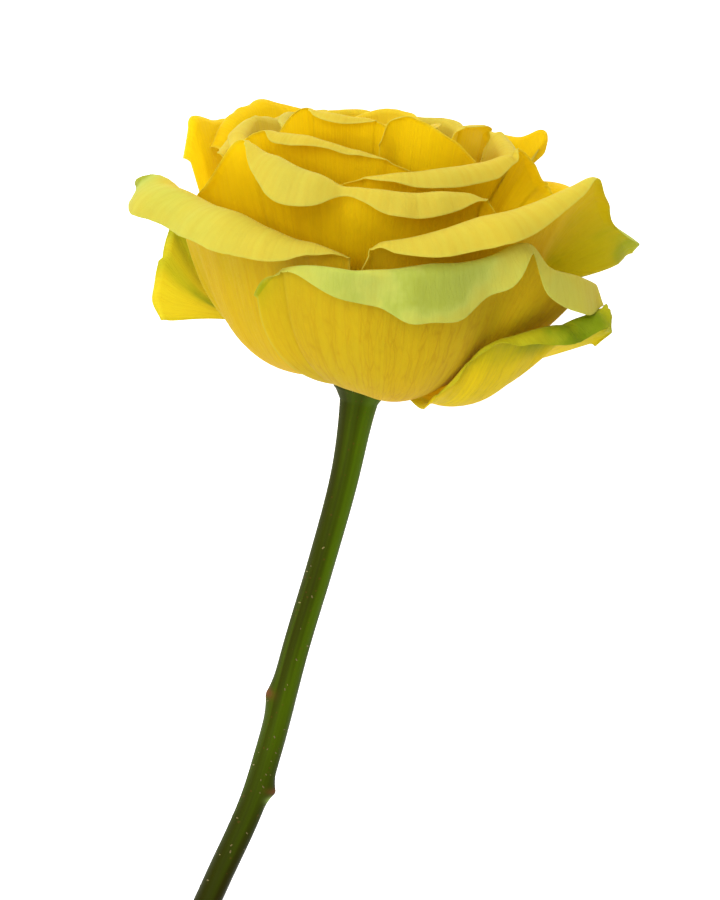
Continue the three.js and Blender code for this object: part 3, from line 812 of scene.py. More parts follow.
def blank_material(name: str) -> tuple[bpy.types.Material, Nodes]:
    """A new material with an empty tree, and the tree's nodes."""
    material = bpy.data.materials.new(name)
    material.use_nodes = True
    material.node_tree.nodes.clear()
    return material, Nodes(material.node_tree)


@dataclass(frozen=True)
class PetalFinish:
    """A living petal: a soft vein-marked skin that lets light through, green where it is flushed, with a
    painted glow low on its walls and painted shade on the front petals' outer faces.
    """

    name: str
    outside: Colour
    inside: Colour
    # deep is partly a painted glow: low on the petal walls it stands in for light scattered into the
    # crevices. The warm mottle uses it as a real uneven tone.
    deep: Colour
    vein: Colour
    green: Colour
    pale_green: Colour
    streak: Colour = srgb(214, 166, 20)
    fleck: Colour = srgb(133, 92, 20)
    # Painted shade: the duller tone that the shaded outer faces of the front petals take.
    shaded_outside: Colour = srgb(219, 195, 30)
    glow: float = 0.3
    vein_show: float = 0.5
    warm_show: float = 0.15
    streak_show: float = 0.16
    hem_show: float = 0.16
    fleck_show: float = 0.7

    def material(self, effects: Effects) -> bpy.types.Material:
        """Builds the finish as a material."""
        material, nodes = blank_material(self.name)
        veins = nodes.group(effects.veins)
        mottle = nodes.group(effects.mottle)
        streaks = nodes.group(effects.streaks).outputs[0]
        inner = nodes.attribute("inner_face")
        reach = nodes.attribute("reach")
        flush = nodes.attribute("flush")
        edge = nodes.attribute("from_edge")

        # Painted shade: the outer faces of the front petals are dulled towards a shaded tone.
        painted_shade = nodes.attribute("painted_shade")
        outside = nodes.mix(painted_shade, self.outside, self.shaded_outside)
        colour = nodes.mix(inner, outside, self.inside)
        # Painted glow: the lower walls take the bright deep yellow in place of light scattered into the
        # crevices, less where painted shade lies.
        low = nodes.product(nodes.span(reach, 0.7, 0.1), nodes.span(painted_shade, 0.0, 1.0, 0.8, 0.4))
        colour = nodes.mix(low, colour, self.deep)
        warm = nodes.product(mottle.outputs["Mask"], self.warm_show)
        colour = nodes.mix(warm, colour, self.deep)
        colour = nodes.mix(nodes.product(streaks, self.streak_show), colour, self.streak)
        lines = nodes.product(veins.outputs["Mask"], nodes.span(reach, 1.0, 0.55, 0.2, 1.0))
        lines = nodes.product(lines, nodes.span(streaks, 0.1, 0.9, 0.3, 1.3))
        shown = nodes.product(nodes.attribute("veined"), self.vein_show)
        colour = nodes.mix(nodes.product(lines, shown), colour, self.vein)
        flushed = nodes.product(flush, nodes.span(mottle.outputs["Mask"], 0.15, 0.85, 0.55, 1.2))
        patch = nodes.math("MINIMUM", flushed, 1.0)
        green = nodes.mix(inner, self.green, self.pale_green)
        colour = nodes.mix(patch, colour, green)
        colour = nodes.mix(nodes.span(flushed, 0.7, 1.3, 0.0, 0.85), colour, self.green)
        streak = nodes.product(nodes.product(patch, veins.outputs["Mask"]), 0.1)
        colour = nodes.mix(streak, colour, self.green)
        hem = nodes.span(edge, 0.8, 0.1, 0.0, self.hem_show)
        colour = nodes.mix(hem, colour, self.pale_green)
        zone = nodes.span(edge, 0.9, 0.1)
        marks = nodes.group(effects.specks, {"Scale": 800.0, "Amount": 0.14, "Zone": zone})
        colour = nodes.mix(nodes.product(marks.outputs[0], self.fleck_show), colour, self.fleck)

        grain = nodes.product(mottle.outputs["Grain"], 0.6)
        grain = nodes.math("ADD", grain, nodes.product(streaks, 0.5))
        height = nodes.math("SUBTRACT", grain, nodes.product(veins.outputs["Height"], 0.25))
        bump = nodes.bump(height, 0.4, 0.0003)
        rough = nodes.span(mottle.outputs["Grain"], 0.3, 0.7, 0.52, 0.66)
        skin = nodes.add(
            "ShaderNodeBsdfPrincipled",
            {
                "Base Color": colour,
                "Roughness": rough,
                "Specular IOR Level": 0.08,
                "Sheen Weight": 0.05,
                "Sheen Roughness": 0.4,
                "Normal": bump,
            },
        )
        light = nodes.add("ShaderNodeBsdfTranslucent", {"Color": colour, "Normal": bump})
        both = nodes.add("ShaderNodeMixShader", {0: self.glow, 1: skin.outputs[0], 2: light.outputs[0]})
        nodes.add("ShaderNodeOutputMaterial", {"Surface": both.outputs[0]})
        return material


@dataclass(frozen=True)
class BarkFinish:
    """Waxy green stem skin: painted stripes of light and shade along it, browner towards the cut, and rough
    brown scars.
    """

    name: str = "stem_bark"
    # Painted light and shade: a lit green and a shaded green, laid in stripes along the stem.
    lit_green: Colour = srgb(74, 100, 0)
    shaded_green: Colour = srgb(44, 48, 0)
    old: Colour = srgb(32, 28, 0)
    scar: Colour = srgb(96, 58, 26)
    bud: Colour = srgb(150, 176, 84)
    pith: Colour = srgb(222, 226, 176)

    def material(self, effects: Effects) -> bpy.types.Material:
        """Builds the finish as a material."""
        material, nodes = blank_material(self.name)
        uv = nodes.add("ShaderNodeTexCoord").outputs["UV"]
        stretch = nodes.add("ShaderNodeMapping", {"Vector": uv, "Scale": (1.3, 0.1, 1.0)}).outputs[0]
        lines = {"Vector": stretch, "Scale": 1.6, "Detail": 3.0}
        stripes = nodes.add("ShaderNodeTexNoise", lines).outputs[0]
        mottle = nodes.group(effects.mottle, {"Broad": 45.0, "Fine": 1500.0})
        down = nodes.attribute("down")
        # Painted light and shade: noise stripes along the stem mix the shaded green with the lit green.
        colour = nodes.mix(nodes.span(stripes, 0.35, 0.68), self.shaded_green, self.lit_green)
        age = nodes.product(nodes.span(down, 0.42, 0.72), 0.85)
        age = nodes.math("ADD", age, nodes.product(mottle.outputs["Mask"], 0.12), clamp=True)
        colour = nodes.mix(age, colour, self.old)
        colour = nodes.mix(nodes.attribute("bud"), colour, self.bud)
        colour = nodes.mix(nodes.attribute("scar"), colour, self.scar)
        marks = nodes.group(effects.specks, {"Scale": 700.0, "Amount": 0.3, "Zone": 1.0})
        colour = nodes.mix(nodes.product(marks.outputs[0], 0.3), colour, self.scar)
        colour = nodes.mix(nodes.attribute("cut"), colour, self.pith)
        grain = mottle.outputs["Grain"]
        height = nodes.math("ADD", nodes.product(stripes, 0.6), nodes.product(grain, 0.4))
        height = nodes.math("ADD", height, nodes.product(nodes.attribute("scar"), grain))
        bump = nodes.bump(height, 0.15, 0.0004)
        rough = nodes.span(mottle.outputs["Mask"], 0.0, 1.0, 0.42, 0.56)
        skin = nodes.add(
            "ShaderNodeBsdfPrincipled",
            {"Base Color": colour, "Roughness": rough, "Specular IOR Level": 0.04, "Normal": bump},
        )
        nodes.add("ShaderNodeOutputMaterial", {"Surface": skin.outputs[0]})
        return material


@dataclass(frozen=True)
class SepalFinish:
    """A matte green leaf, paler along its veins and browned at its edge."""

    name: str = "sepal_leaf"
    leaf: Colour = srgb(92, 122, 34)
    pale: Colour = srgb(148, 168, 84)
    brown: Colour = srgb(110, 92, 34)

    def material(self, effects: Effects) -> bpy.types.Material:
        """Builds the finish as a material."""
        material, nodes = blank_material(self.name)
        veins = nodes.group(effects.veins, {"Across": 5.0, "Along": 3.0})
        mottle = nodes.group(effects.mottle, {"Broad": 150.0, "Fine": 1200.0})
        colour = nodes.mix(nodes.product(nodes.attribute("inner_face"), 0.5), self.leaf, self.pale)
        colour = nodes.mix(nodes.product(veins.outputs["Mask"], 0.5), colour, self.pale)
        edge = nodes.span(nodes.attribute("from_edge"), 0.6, 0.0, 0.0, 0.7)
        colour = nodes.mix(edge, colour, self.brown)
        colour = nodes.mix(nodes.product(mottle.outputs["Mask"], 0.25), colour, self.brown)
        height = nodes.math("SUBTRACT", mottle.outputs["Grain"], veins.outputs["Height"])
        bump = nodes.bump(height, 0.4, 0.0003)
        rough = nodes.span(mottle.outputs["Grain"], 0.3, 0.7, 0.55, 0.72)
        look = {"Base Color": colour, "Roughness": rough, "Normal": bump}
        skin = nodes.add("ShaderNodeBsdfPrincipled", look)
        nodes.add("ShaderNodeOutputMaterial", {"Surface": skin.outputs[0]})
        return material


@dataclass(frozen=True)
class HairFinish:
    """The fine pale hairs along a sepal, mottled with a reddish tone, and the corky pores of the bark."""

    name: str
    base: Colour
    other: Colour

    def material(self, effects: Effects) -> bpy.types.Material:
        """Builds the finish as a material."""
        material, nodes = blank_material(self.name)
        mottle = nodes.group(effects.mottle, {"Broad": 800.0, "Fine": 3000.0})
        colour = nodes.mix(mottle.outputs["Mask"], self.base, self.other)
        rough = nodes.span(mottle.outputs["Grain"], 0.3, 0.7, 0.5, 0.75)
        skin = nodes.add("ShaderNodeBsdfPrincipled", {"Base Color": colour, "Roughness": rough})
        nodes.add("ShaderNodeOutputMaterial", {"Surface": skin.outputs[0]})
        return material


@dataclass(frozen=True)
class FloorFinish:
    """A plain near-white matte sheet, a little lit from below."""

    name: str = "pale_floor"
    tone: Colour = (0.93, 0.93, 0.93, 1.0)
    light: float = 0.6

    def material(self) -> bpy.types.Material:
        """Builds the finish as a material."""
        material = bpy.data.materials.new(self.name)
        material.use_nodes = True
        skin = material.node_tree.nodes["Principled BSDF"]
        skin.inputs["Base Color"].default_value = self.tone
        skin.inputs["Roughness"].default_value = 0.9
        skin.inputs["Specular IOR Level"].default_value = 0.1
        skin.inputs["Emission Color"].default_value = (1.0, 1.0, 1.0, 1.0)
        skin.inputs["Emission Strength"].default_value = self.light
        return material


# ---- Geometry Nodes ----


def run_tree(
    source: bpy.types.Object, tree: bpy.types.NodeTree, values: dict[str, object]
) -> bpy.types.Mesh:
    """Runs a Geometry Nodes tree on an object and returns the plain mesh that it makes.

    Args:
        source: The object, which is removed afterwards.
        tree: The tree.
        values: The values of its inputs, by name.

    Returns:
        The finished mesh.
    """
    modifier = source.modifiers.new(tree.name, "NODES")
    modifier.node_group = tree
    sockets = {item.name: item.identifier for item in tree.interface.items_tree if item.in_out == "INPUT"}
    for name, value in values.items():
        modifier[sockets[name]] = value
    evaluated = source.evaluated_get(bpy.context.evaluated_depsgraph_get())
    mesh = bpy.data.meshes.new_from_object(evaluated)
    source.modifiers.remove(modifier)
    bpy.data.objects.remove(source)
    return mesh


def geometry_tree(name: str, inputs: list[tuple[str, str]]) -> tuple[Nodes, bpy.types.Node, bpy.types.Node]:
    """Starts a Geometry Nodes tree with its geometry in and out and the named inputs."""
    tree = bpy.data.node_groups.new(name, "GeometryNodeTree")
    tree.interface.new_socket("Geometry", in_out="INPUT", socket_type="NodeSocketGeometry")
    tree.interface.new_socket("Geometry", in_out="OUTPUT", socket_type="NodeSocketGeometry")
    for label, kind in inputs:
        tree.interface.new_socket(label, in_out="INPUT", socket_type=kind)
    nodes = Nodes(tree)
    return nodes, nodes.add("NodeGroupInput"), nodes.add("NodeGroupOutput")


def finish_tree(nodes: Nodes, last: bpy.types.Node, given: bpy.types.Node, out: bpy.types.Node) -> None:
    """Ends a Geometry Nodes tree: smooth shading, real geometry and the finish that it was given."""
    soft = nodes.add("GeometryNodeSetShadeSmooth", {"Geometry": last.outputs[0]})
    real = nodes.add("GeometryNodeRealizeInstances", {"Geometry": soft.outputs[0]})
    dressed = {"Geometry": real.outputs[0], "Material": given.outputs["Finish"]}
    done = nodes.add("GeometryNodeSetMaterial", dressed)
    nodes.tree.links.new(done.outputs[0], out.inputs[0])


def sweep_tree() -> bpy.types.NodeTree:
    """A round skin along a course, as thick as the course's own radius, with its caps closed."""
    sizes = [("Rings", "NodeSocketInt"), ("Sides", "NodeSocketInt"), ("Finish", "NodeSocketMaterial")]
    nodes, given, out = geometry_tree("stem_sweep", sizes)
    line, rings = given.outputs["Geometry"], given.outputs["Rings"]
    course = nodes.add("GeometryNodeResampleCurve", {"Curve": line, "Count": rings})
    down = nodes.add("GeometryNodeStoreNamedAttribute", {"Geometry": course.outputs[0], "Name": "swept"})
    nodes.tree.links.new(nodes.add("GeometryNodeSplineParameter").outputs["Factor"], down.inputs["Value"])
    sides = {"Resolution": given.outputs["Sides"], "Radius": 1.0}
    round_line = nodes.add("GeometryNodeCurvePrimitiveCircle", sides)
    skin = nodes.add(
        "GeometryNodeCurveToMesh",
        {"Curve": down.outputs[0], "Profile Curve": round_line.outputs[0], "Fill Caps": True},
    )
    radius = nodes.add("GeometryNodeInputRadius").outputs[0]
    nodes.tree.links.new(radius, skin.inputs["Scale"])
    finish_tree(nodes, skin, given, out)
    return nodes.tree


class Scattered(Enum):
    """What a surface is scattered with."""

    HAIRS = "hairs"
    PORES = "pores"


def scatter_tree(what: Scattered) -> bpy.types.NodeTree:
    """Small things scattered over a surface: slender hairs or flat oval pores.

    Args:
        what: Which of the two.

    Returns:
        The tree. Its density is per square metre where the surface's "chance" is 1.
    """
    sizes = [
        ("Density", "NodeSocketFloat"),
        ("Length", "NodeSocketFloat"),
        ("Thickness", "NodeSocketFloat"),
        ("Seed", "NodeSocketInt"),
        ("Finish", "NodeSocketMaterial"),
    ]
    nodes, given, out = geometry_tree(f"scattered_{what.value}", sizes)
    chance = nodes.add("GeometryNodeInputNamedAttribute", {"Name": "chance"}, data_type="FLOAT").outputs[0]
    density = nodes.product(given.outputs["Density"], chance)
    points = nodes.add(
        "GeometryNodeDistributePointsOnFaces",
        {"Mesh": given.outputs[0], "Density": density, "Seed": given.outputs["Seed"]},
    )
    seed = given.outputs["Seed"]
    if what is Scattered.HAIRS:
        low, high, factors = (-0.45, -0.45, -3.0), (0.45, 0.45, 3.0), (1.0, 1.0, 1.0)
        shape = nodes.add(
            "GeometryNodeMeshCone",
            {"Vertices": 5, "Radius Bottom": given.outputs["Thickness"], "Depth": given.outputs["Length"]},
        )
    else:
        low, high, factors = (0.0, 0.0, -0.2), (0.0, 0.0, 0.2), (0.7, 1.6, 0.35)
        ball = {"Radius": given.outputs["Thickness"], "Subdivisions": 2}
        shape = nodes.add("GeometryNodeMeshIcoSphere", ball)
    leans = {0: low, 1: high, "Seed": seed}
    lean = nodes.add("FunctionNodeRandomValue", leans, data_type="FLOAT_VECTOR")
    facing = {"Rotation": points.outputs["Rotation"]}
    turned = nodes.add("FunctionNodeRotateRotation", facing, rotation_space="LOCAL")
    nodes.tree.links.new(lean.outputs[0], turned.inputs["Rotate By"])
    size = nodes.add("FunctionNodeRandomValue", {2: 0.6, 3: 1.2, "Seed": seed}, data_type="FLOAT")
    scale = nodes.add("ShaderNodeVectorMath", {0: factors, "Scale": size.outputs[1]}, operation="SCALE")
    placed = nodes.add(
        "GeometryNodeInstanceOnPoints",
        {
            "Points": points.outputs[0],
            "Instance": shape.outputs[0],
            "Rotation": turned.outputs[0],
            "Scale": scale.outputs[0],
        },
    )
    finish_tree(nodes, placed, given, out)
    return nodes.tree


# ---- The rose ----


# How far the highest corner of the stem's box lies from the petals' seats.
HEAD_CORNER = (6.369, 6.237, 5.859)


def bloom_place() -> Placement:
    """Where the petals' seats lie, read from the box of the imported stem."""
    _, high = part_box("stem")
    origin = tuple(high[k] / MM - HEAD_CORNER[k] for k in range(3))
    return Placement(rise=13.0, turn=3.0, origin=origin)


BLOOM_PLACE = bloom_place()


@dataclass
class Bloom:
    """The open bloom, in millimetres and degrees.

    The petals are seated round the axis from the heart outwards. waves are the ripples of an edge, each as
    long as a length drawn from wave_lengths. crumple_turns and crumple_tilts are how often a crumpled zone
    goes up and down across a petal and along it.
    """

    place: Placement = BLOOM_PLACE
    petals: tuple[Petal, ...] = PETALS
    seat_inner: float = 1.6
    seat_outer: float = 7.2
    seat_rise: float = 7.0
    climb_inner: float = 82.0
    climb_outer: float = 3.0
    claw_width: float = 2.6
    claw_thickness: float = 0.8
    edge_thickness: float = 0.34
    wall_rows: int = 34
    roll_rows: int = 20
    columns_per_point: int = 9
    crest_steps: int = 200
    seat_curve: float = 0.8
    least_reach: float = 6.0
    below_crest: float = 0.97
    waves: int = 7
    wave_lengths: tuple[float, float] = (6, 26)
    wave_share: float = 0.45
    crumples: int = 6
    crumple_turns: tuple[float, float] = (30, 75)
    crumple_tilts: tuple[float, float] = (3, 14)
    crumple_height: float = 0.2
    flush_edge: float = 0.15
    # In each finish the deep colour is partly a painted glow low on the petal walls.
    finishes: dict[Slot, PetalFinish] = field(
        default_factory=lambda: {
            Slot.INNER_PETAL: PetalFinish(
                "heart_petals",
                outside=srgb(242, 218, 18),
                inside=srgb(234, 216, 56),
                deep=srgb(254, 214, 2),
                vein=srgb(214, 150, 4),
                green=srgb(196, 196, 60),
                pale_green=srgb(228, 220, 96),
                glow=0.52,
            ),
            Slot.PETAL: PetalFinish(
                "open_petals",
                outside=srgb(245, 215, 12),
                inside=srgb(220, 211, 80),
                deep=srgb(252, 211, 4),
                vein=srgb(190, 140, 10),
                green=srgb(172, 176, 12),
                pale_green=srgb(206, 220, 112),
                glow=0.52,
            ),
            Slot.GUARD_PETAL: PetalFinish(
                "guard_petals",
                outside=srgb(240, 218, 26),
                inside=srgb(222, 212, 44),
                deep=srgb(244, 204, 12),
                vein=srgb(150, 138, 14),
                green=srgb(128, 150, 10),
                pale_green=srgb(160, 172, 28),
                glow=0.48,
            ),
        }
    )

    def build(self, effects: Effects) -> None:
        """Builds and dresses every petal."""
        dressed = {slot: finish.material(effects) for slot, finish in self.finishes.items()}
        for order, petal in enumerate(self.petals):
            slot = self.slot_of(petal)
            mesh = self.shell(petal, order).mesh(petal.name, self.place, FLOOR_GAP)
            keep(piece(f"bloom_{petal.name}", mesh, dressed[slot]), slot, petal.name)

    @staticmethod
    def slot_of(petal: Petal) -> Slot:
        """The slot that a petal's finish comes from."""
        if petal.name.startswith(("heart", "inner")):
            return Slot.INNER_PETAL
        return Slot.GUARD_PETAL if petal.name.startswith("guard") else Slot.PETAL

    def shell(self, petal: Petal, order: int) -> Shell:
        """The petal's sheet, its thickness and what its finish needs.

        Args:
            petal: The petal.
            order: Its number, from the heart outwards.

        Returns:
            The shell round its sheet.
        """
        columns = self.columns_per_point * (len(petal.edge) - 1) + 1
        t = np.linspace(0, 1, columns)
        edge = np.array(petal.edge, float)
        azimuth, crest, top, lean, roll, turn = (smooth(edge[:, k], t) for k in range(6))
        rng = np.random.default_rng(100 + order)
        scallop = sum(
            rng.uniform(0.3, 1.0) / k * np.sin(2 * math.pi * (k * 1.6 * t + rng.uniform()))
            for k in range(2, 7)
        )
        column = {
            "share": t,
            "azimuth": np.radians(azimuth),
            "lean": np.radians(lean),
            "roll": np.maximum(roll, 0.8),
            "turn": np.radians(np.maximum(turn, 10)),
        }
        shares = np.linspace(0, 1, self.crest_steps)
        gone = [self.rolled(column, petal.fold, share) for share in shares]
        radii = np.array([up * np.sin(column["lean"]) + out * np.cos(column["lean"]) for up, out in gone])
        heights = np.array([up * np.cos(column["lean"]) - out * np.sin(column["lean"]) for up, out in gone])
        best = np.argmax(heights, axis=0)
        rises = heights[best, np.arange(columns)] > 0
        column["radius"] = crest - np.where(rises, radii[best, np.arange(columns)], 0)
        column["height"] = top - np.where(rises, heights[best, np.arange(columns)], 0)
        lobes = sum(lobe.length * np.exp(-(((t - lobe.at) / lobe.width) ** 2)) for lobe in petal.lobes)
        column["roll"] = np.maximum((roll + lobes) * (1 + petal.ragged * scallop), 0.8)

        sheet, depth = self.sheet(petal, order, column)
        sheet = self.rippled(sheet, depth, t, petal, rng)
        steps = np.linalg.norm(np.diff(sheet, axis=0), axis=2)
        to_rim = np.vstack([np.cumsum(steps[::-1], axis=0)[::-1], np.zeros((1, columns))])
        spans = np.linalg.norm(np.diff(sheet, axis=1), axis=2)
        gone_across = np.hstack([np.zeros((len(sheet), 1)), np.cumsum(spans, axis=1)])
        to_side = np.minimum(gone_across, gone_across[:, -1:] - gone_across)
        from_edge = np.minimum(to_rim, to_side)
        reach = np.clip(1 - to_rim / to_rim[0].max(), 0, 1)
        thickness = self.claw_thickness + (self.edge_thickness - self.claw_thickness) * ease(0, 0.6, reach)
        half = thickness / 2 * (0.5 + 0.5 * ease(0, 1.6, from_edge))
        flush = np.zeros_like(depth)
        across = np.broadcast_to(t, depth.shape)
        for patch in petal.flushes:
            spread = np.exp(-(((across - patch.at) / patch.spread) ** 2))
            low, high = patch.start - self.flush_edge, patch.start + self.flush_edge
            flush += patch.strength * spread * ease(low, high, depth)
        values = {"reach": reach, "from_edge": from_edge, "flush": np.clip(flush, 0, 1.5)}
        # The second value here carries how far painted shade dulls the petal's outer face.
        values |= {"veined": np.full_like(depth, petal.veined), "painted_shade": np.full_like(depth, petal.painted_shade)}
        return Shell(sheet, half, values, across, reach)

    @staticmethod
    def rolled(column: dict[str, Array], fold: float, share: float) -> tuple[Array, Array]:
        """How far a roll has gone up along the lean and out from it, after a share of its length."""
        length = column["roll"] * share
        bent = column["roll"] * fold
        bow = bent / column["turn"]
        angle = np.minimum(length, bent) / bow
        straight = np.maximum(length - bent, 0)
        up = bow * np.sin(angle) + straight * np.cos(column["turn"])
        out = bow * (1 - np.cos(angle)) + straight * np.sin(column["turn"])
        return up, out

    def sheet(self, petal: Petal, order: int, column: dict[str, Array]) -> tuple[Array, Array]:
        """The rows of a petal's middle surface, from its claw to its rim.

        Args:
            petal: The petal.
            order: Its number, from the heart outwards.
            column: What holds on each column.

        Returns:
            The points, and how deep each row is: below 0 on the wall, above 0 in the roll.
        """
        place = (order / (len(self.petals) - 1)) ** self.seat_curve
        seat_radius = self.seat_inner + (self.seat_outer - self.seat_inner) * place
        seat_height = self.seat_rise * (1 - place)
        climb = self.climb_inner + (self.climb_outer - self.climb_inner) * place
        leaving = np.radians(smooth(np.array(petal.climb or (climb, climb), float), column["share"]))
        reach = smooth(np.array(petal.belly, float), column["share"]) * (column["radius"] - seat_radius)
        draw = petal.stand * (column["height"] - seat_height)
        low, high = math.radians(petal.edge[0][0]), math.radians(petal.edge[-1][0])
        middle, half = (low + high) / 2, abs(high - low) / 2
        claw = min(self.claw_width / 2 / seat_radius / half, 0.7)
        soon = smooth(np.array(petal.fan, float), column["share"])
        radii = [
            np.full_like(reach, seat_radius),
            seat_radius + reach * np.cos(leaving),
            column["radius"] - draw * np.sin(column["lean"]),
            column["radius"],
        ]
        heights = [
            np.full_like(reach, seat_height),
            seat_height + np.maximum(reach, self.least_reach) * np.sin(leaving),
            column["height"] - draw * np.cos(column["lean"]),
            column["height"],
        ]

        def wall(v: float) -> Array:
            """The wall's points at a share of its height."""
            radius, height = bezier(radii, v), bezier(heights, v)
            fan = claw + (1 - claw) * (1 - (1 - v) ** soon)
            azimuth = middle + (column["azimuth"] - middle) * fan
            return np.stack([radius * np.sin(azimuth), -radius * np.cos(azimuth), height], axis=1)

        shares = np.linspace(0, 1, self.wall_rows + 1)
        rows = [wall(v) for v in shares]
        start = rows[-1]
        along = unit(np.gradient(start, axis=0))
        up = unit(start - wall(self.below_crest))
        up = unit(up - 0.6 * np.sum(up * along, axis=1, keepdims=True) * along)
        azimuth = column["azimuth"]
        radial = np.stack([np.sin(azimuth), -np.cos(azimuth), np.zeros_like(azimuth)], axis=1)
        out = unit(radial - np.sum(radial * up, axis=1, keepdims=True) * up)
        depths = [v - 1 for v in shares]
        for j in range(1, self.roll_rows + 1):
            share = j / self.roll_rows
            gone_up, gone_out = self.rolled(column, petal.fold, share)
            rows.append(start + up * gone_up[:, None] + out * gone_out[:, None])
            depths.append(share)
        depth = np.repeat(np.array(depths)[:, None], len(column["share"]), axis=1)
        return np.stack(rows), depth

    def rippled(
        self, sheet: Array, depth: Array, t: Array, petal: Petal, rng: np.random.Generator
    ) -> Array:
        """The sheet with soft waves that grow towards its rim.

        Args:
            sheet: The points.
            depth: How deep each row is.
            t: The share of the way across of each column.
            petal: The petal.
            rng: The petal's own source of chance.

        Returns:
            The moved points.
        """
        width = np.linalg.norm(np.diff(sheet[-1], axis=0), axis=1).sum()
        waves = np.zeros_like(depth)
        for k in range(self.waves):
            count = width / rng.uniform(*self.wave_lengths)
            drift = rng.uniform(-0.5, 0.5)
            phase = rng.uniform(0, 2 * math.pi)
            height = rng.uniform(0.25, 1.0) / (1 + 0.25 * k)
            waves += height * np.sin(2 * math.pi * count * (t[None, :] + drift * 0.1 * depth) + phase)
        rise = ease(-0.3, 0.9, depth) * (0.35 + 0.65 * ease(0.2, 1.0, depth))
        lift = waves * rise * petal.ripple * self.wave_share
        for fold in petal.folds:
            off = (t[None, :] - fold.at - fold.drift * depth) / fold.width
            rising = ease(fold.start, fold.start + 0.5, depth)
            lift = lift + fold.height * np.exp(-np.abs(off) ** 1.5) * rising
        crumple = np.zeros_like(depth)
        for _ in range(self.crumples):
            turns, tilt = rng.uniform(*self.crumple_turns), rng.uniform(*self.crumple_tilts)
            crumple += np.sin(turns * t[None, :] + tilt * depth + rng.uniform(0, 6.3))
        for patch in petal.crumples:
            zone = np.exp(-(((t[None, :] - patch.at) / patch.spread) ** 2))
            zone = zone * ease(patch.start, patch.start + 0.3, depth)
            lift = lift + patch.strength * self.crumple_height * crumple * zone
        return sheet + grid_normals(sheet) * lift[..., None]


@dataclass(frozen=True)
class Sepal:
    """One sepal: its azimuth in degrees and how far it dips, in millimetres."""

    azimuth: float
    drop: float


@dataclass
class Calyx:
    """Five short pointed sepals under the petals, with fine hairs along their edges, in millimetres."""

    place: Placement = BLOOM_PLACE
    sepals: tuple[Sepal, ...] = (
        Sepal(0, -0.2),
        Sepal(72, 1.8),
        Sepal(144, 0.2),
        Sepal(216, 0.4),
        Sepal(288, -1.5),
    )
    half_widths: tuple[float, ...] = (2.4, 3.0, 3.0, 2.3, 1.3, 0.35)
    foot: float = 6.9
    length: float = 10.0
    thickness: float = 0.7
    rows: int = 40
    columns: int = 17
    hair_length: float = 0.7
    hair_thickness: float = 0.035
    hairs_per_square_metre: float = 1.4e6

    def build(self, effects: Effects) -> None:
        """Builds and dresses the sepals and their hairs."""
        leaf = SepalFinish().material(effects)
        hair = HairFinish("sepal_hair", srgb(196, 204, 140), srgb(150, 96, 60)).material(effects)
        tree = scatter_tree(Scattered.HAIRS)
        for number, sepal in enumerate(self.sepals, start=1):
            mesh = self.shell(sepal).mesh(f"sepal_{number}", self.place, FLOOR_GAP)
            made = piece(f"calyx_sepal_{number}", mesh, leaf)
            source = piece("hair_ground", mesh.copy(), leaf)
            values = {
                "Density": self.hairs_per_square_metre,
                "Length": self.hair_length * MM,
                "Thickness": self.hair_thickness * MM,
                "Seed": number,
                "Finish": hair,
            }
            hairs = piece(f"calyx_hairs_{number}", run_tree(source, tree, values), hair)
            keep(made, Slot.SEPAL, f"sepal_{number}")
            keep(hairs, Slot.SEPAL)

    def shell(self, sepal: Sepal) -> Shell:
        """One sepal's sheet and its thickness."""
        v = np.linspace(0, 1, self.rows)
        side = np.linspace(-1, 1, self.columns)
        reach = [self.foot + self.length * share for share in (0, 0.3, 0.7, 1)]
        height = [-2.4, -2.4 - sepal.drop, -2.6 - sepal.drop, -1.6 - sepal.drop]
        radius, level = bezier(reach, v), bezier(height, v)
        half = np.maximum(smooth(np.array(self.half_widths), v), 0.3)
        turn = math.radians(sepal.azimuth)
        outwards = np.array([math.sin(turn), -math.cos(turn), 0])
        sideways = np.array([math.cos(turn), math.sin(turn), 0])
        sheet = (
            radius[:, None, None] * outwards
            + (half[:, None] * side)[..., None] * sideways
            + (level[:, None] + 0.12 * half[:, None] * side**2)[..., None] * np.array([0, 0, 1])
        )
        from_edge = np.minimum(half[:, None] * (1 - np.abs(side)), self.length * (1 - v[:, None]))
        thick = self.thickness / 2 * (0.35 + 0.65 * ease(0, 1.2, from_edge))
        chance = ease(0.9, 0.1, from_edge) * 0.8 + 0.04
        values = {"from_edge": from_edge, "chance": chance}
        across = np.broadcast_to((side + 1) / 2, from_edge.shape)
        return Shell(sheet, thick, values, across, np.broadcast_to(v[:, None], from_edge.shape))


@dataclass(frozen=True)
class Node:
    """A knot on the stem: its share of the way down, the side it faces, its swelling and its length."""

    down: float
    towards: float
    swell: float
    length: float
    bud: bool = False


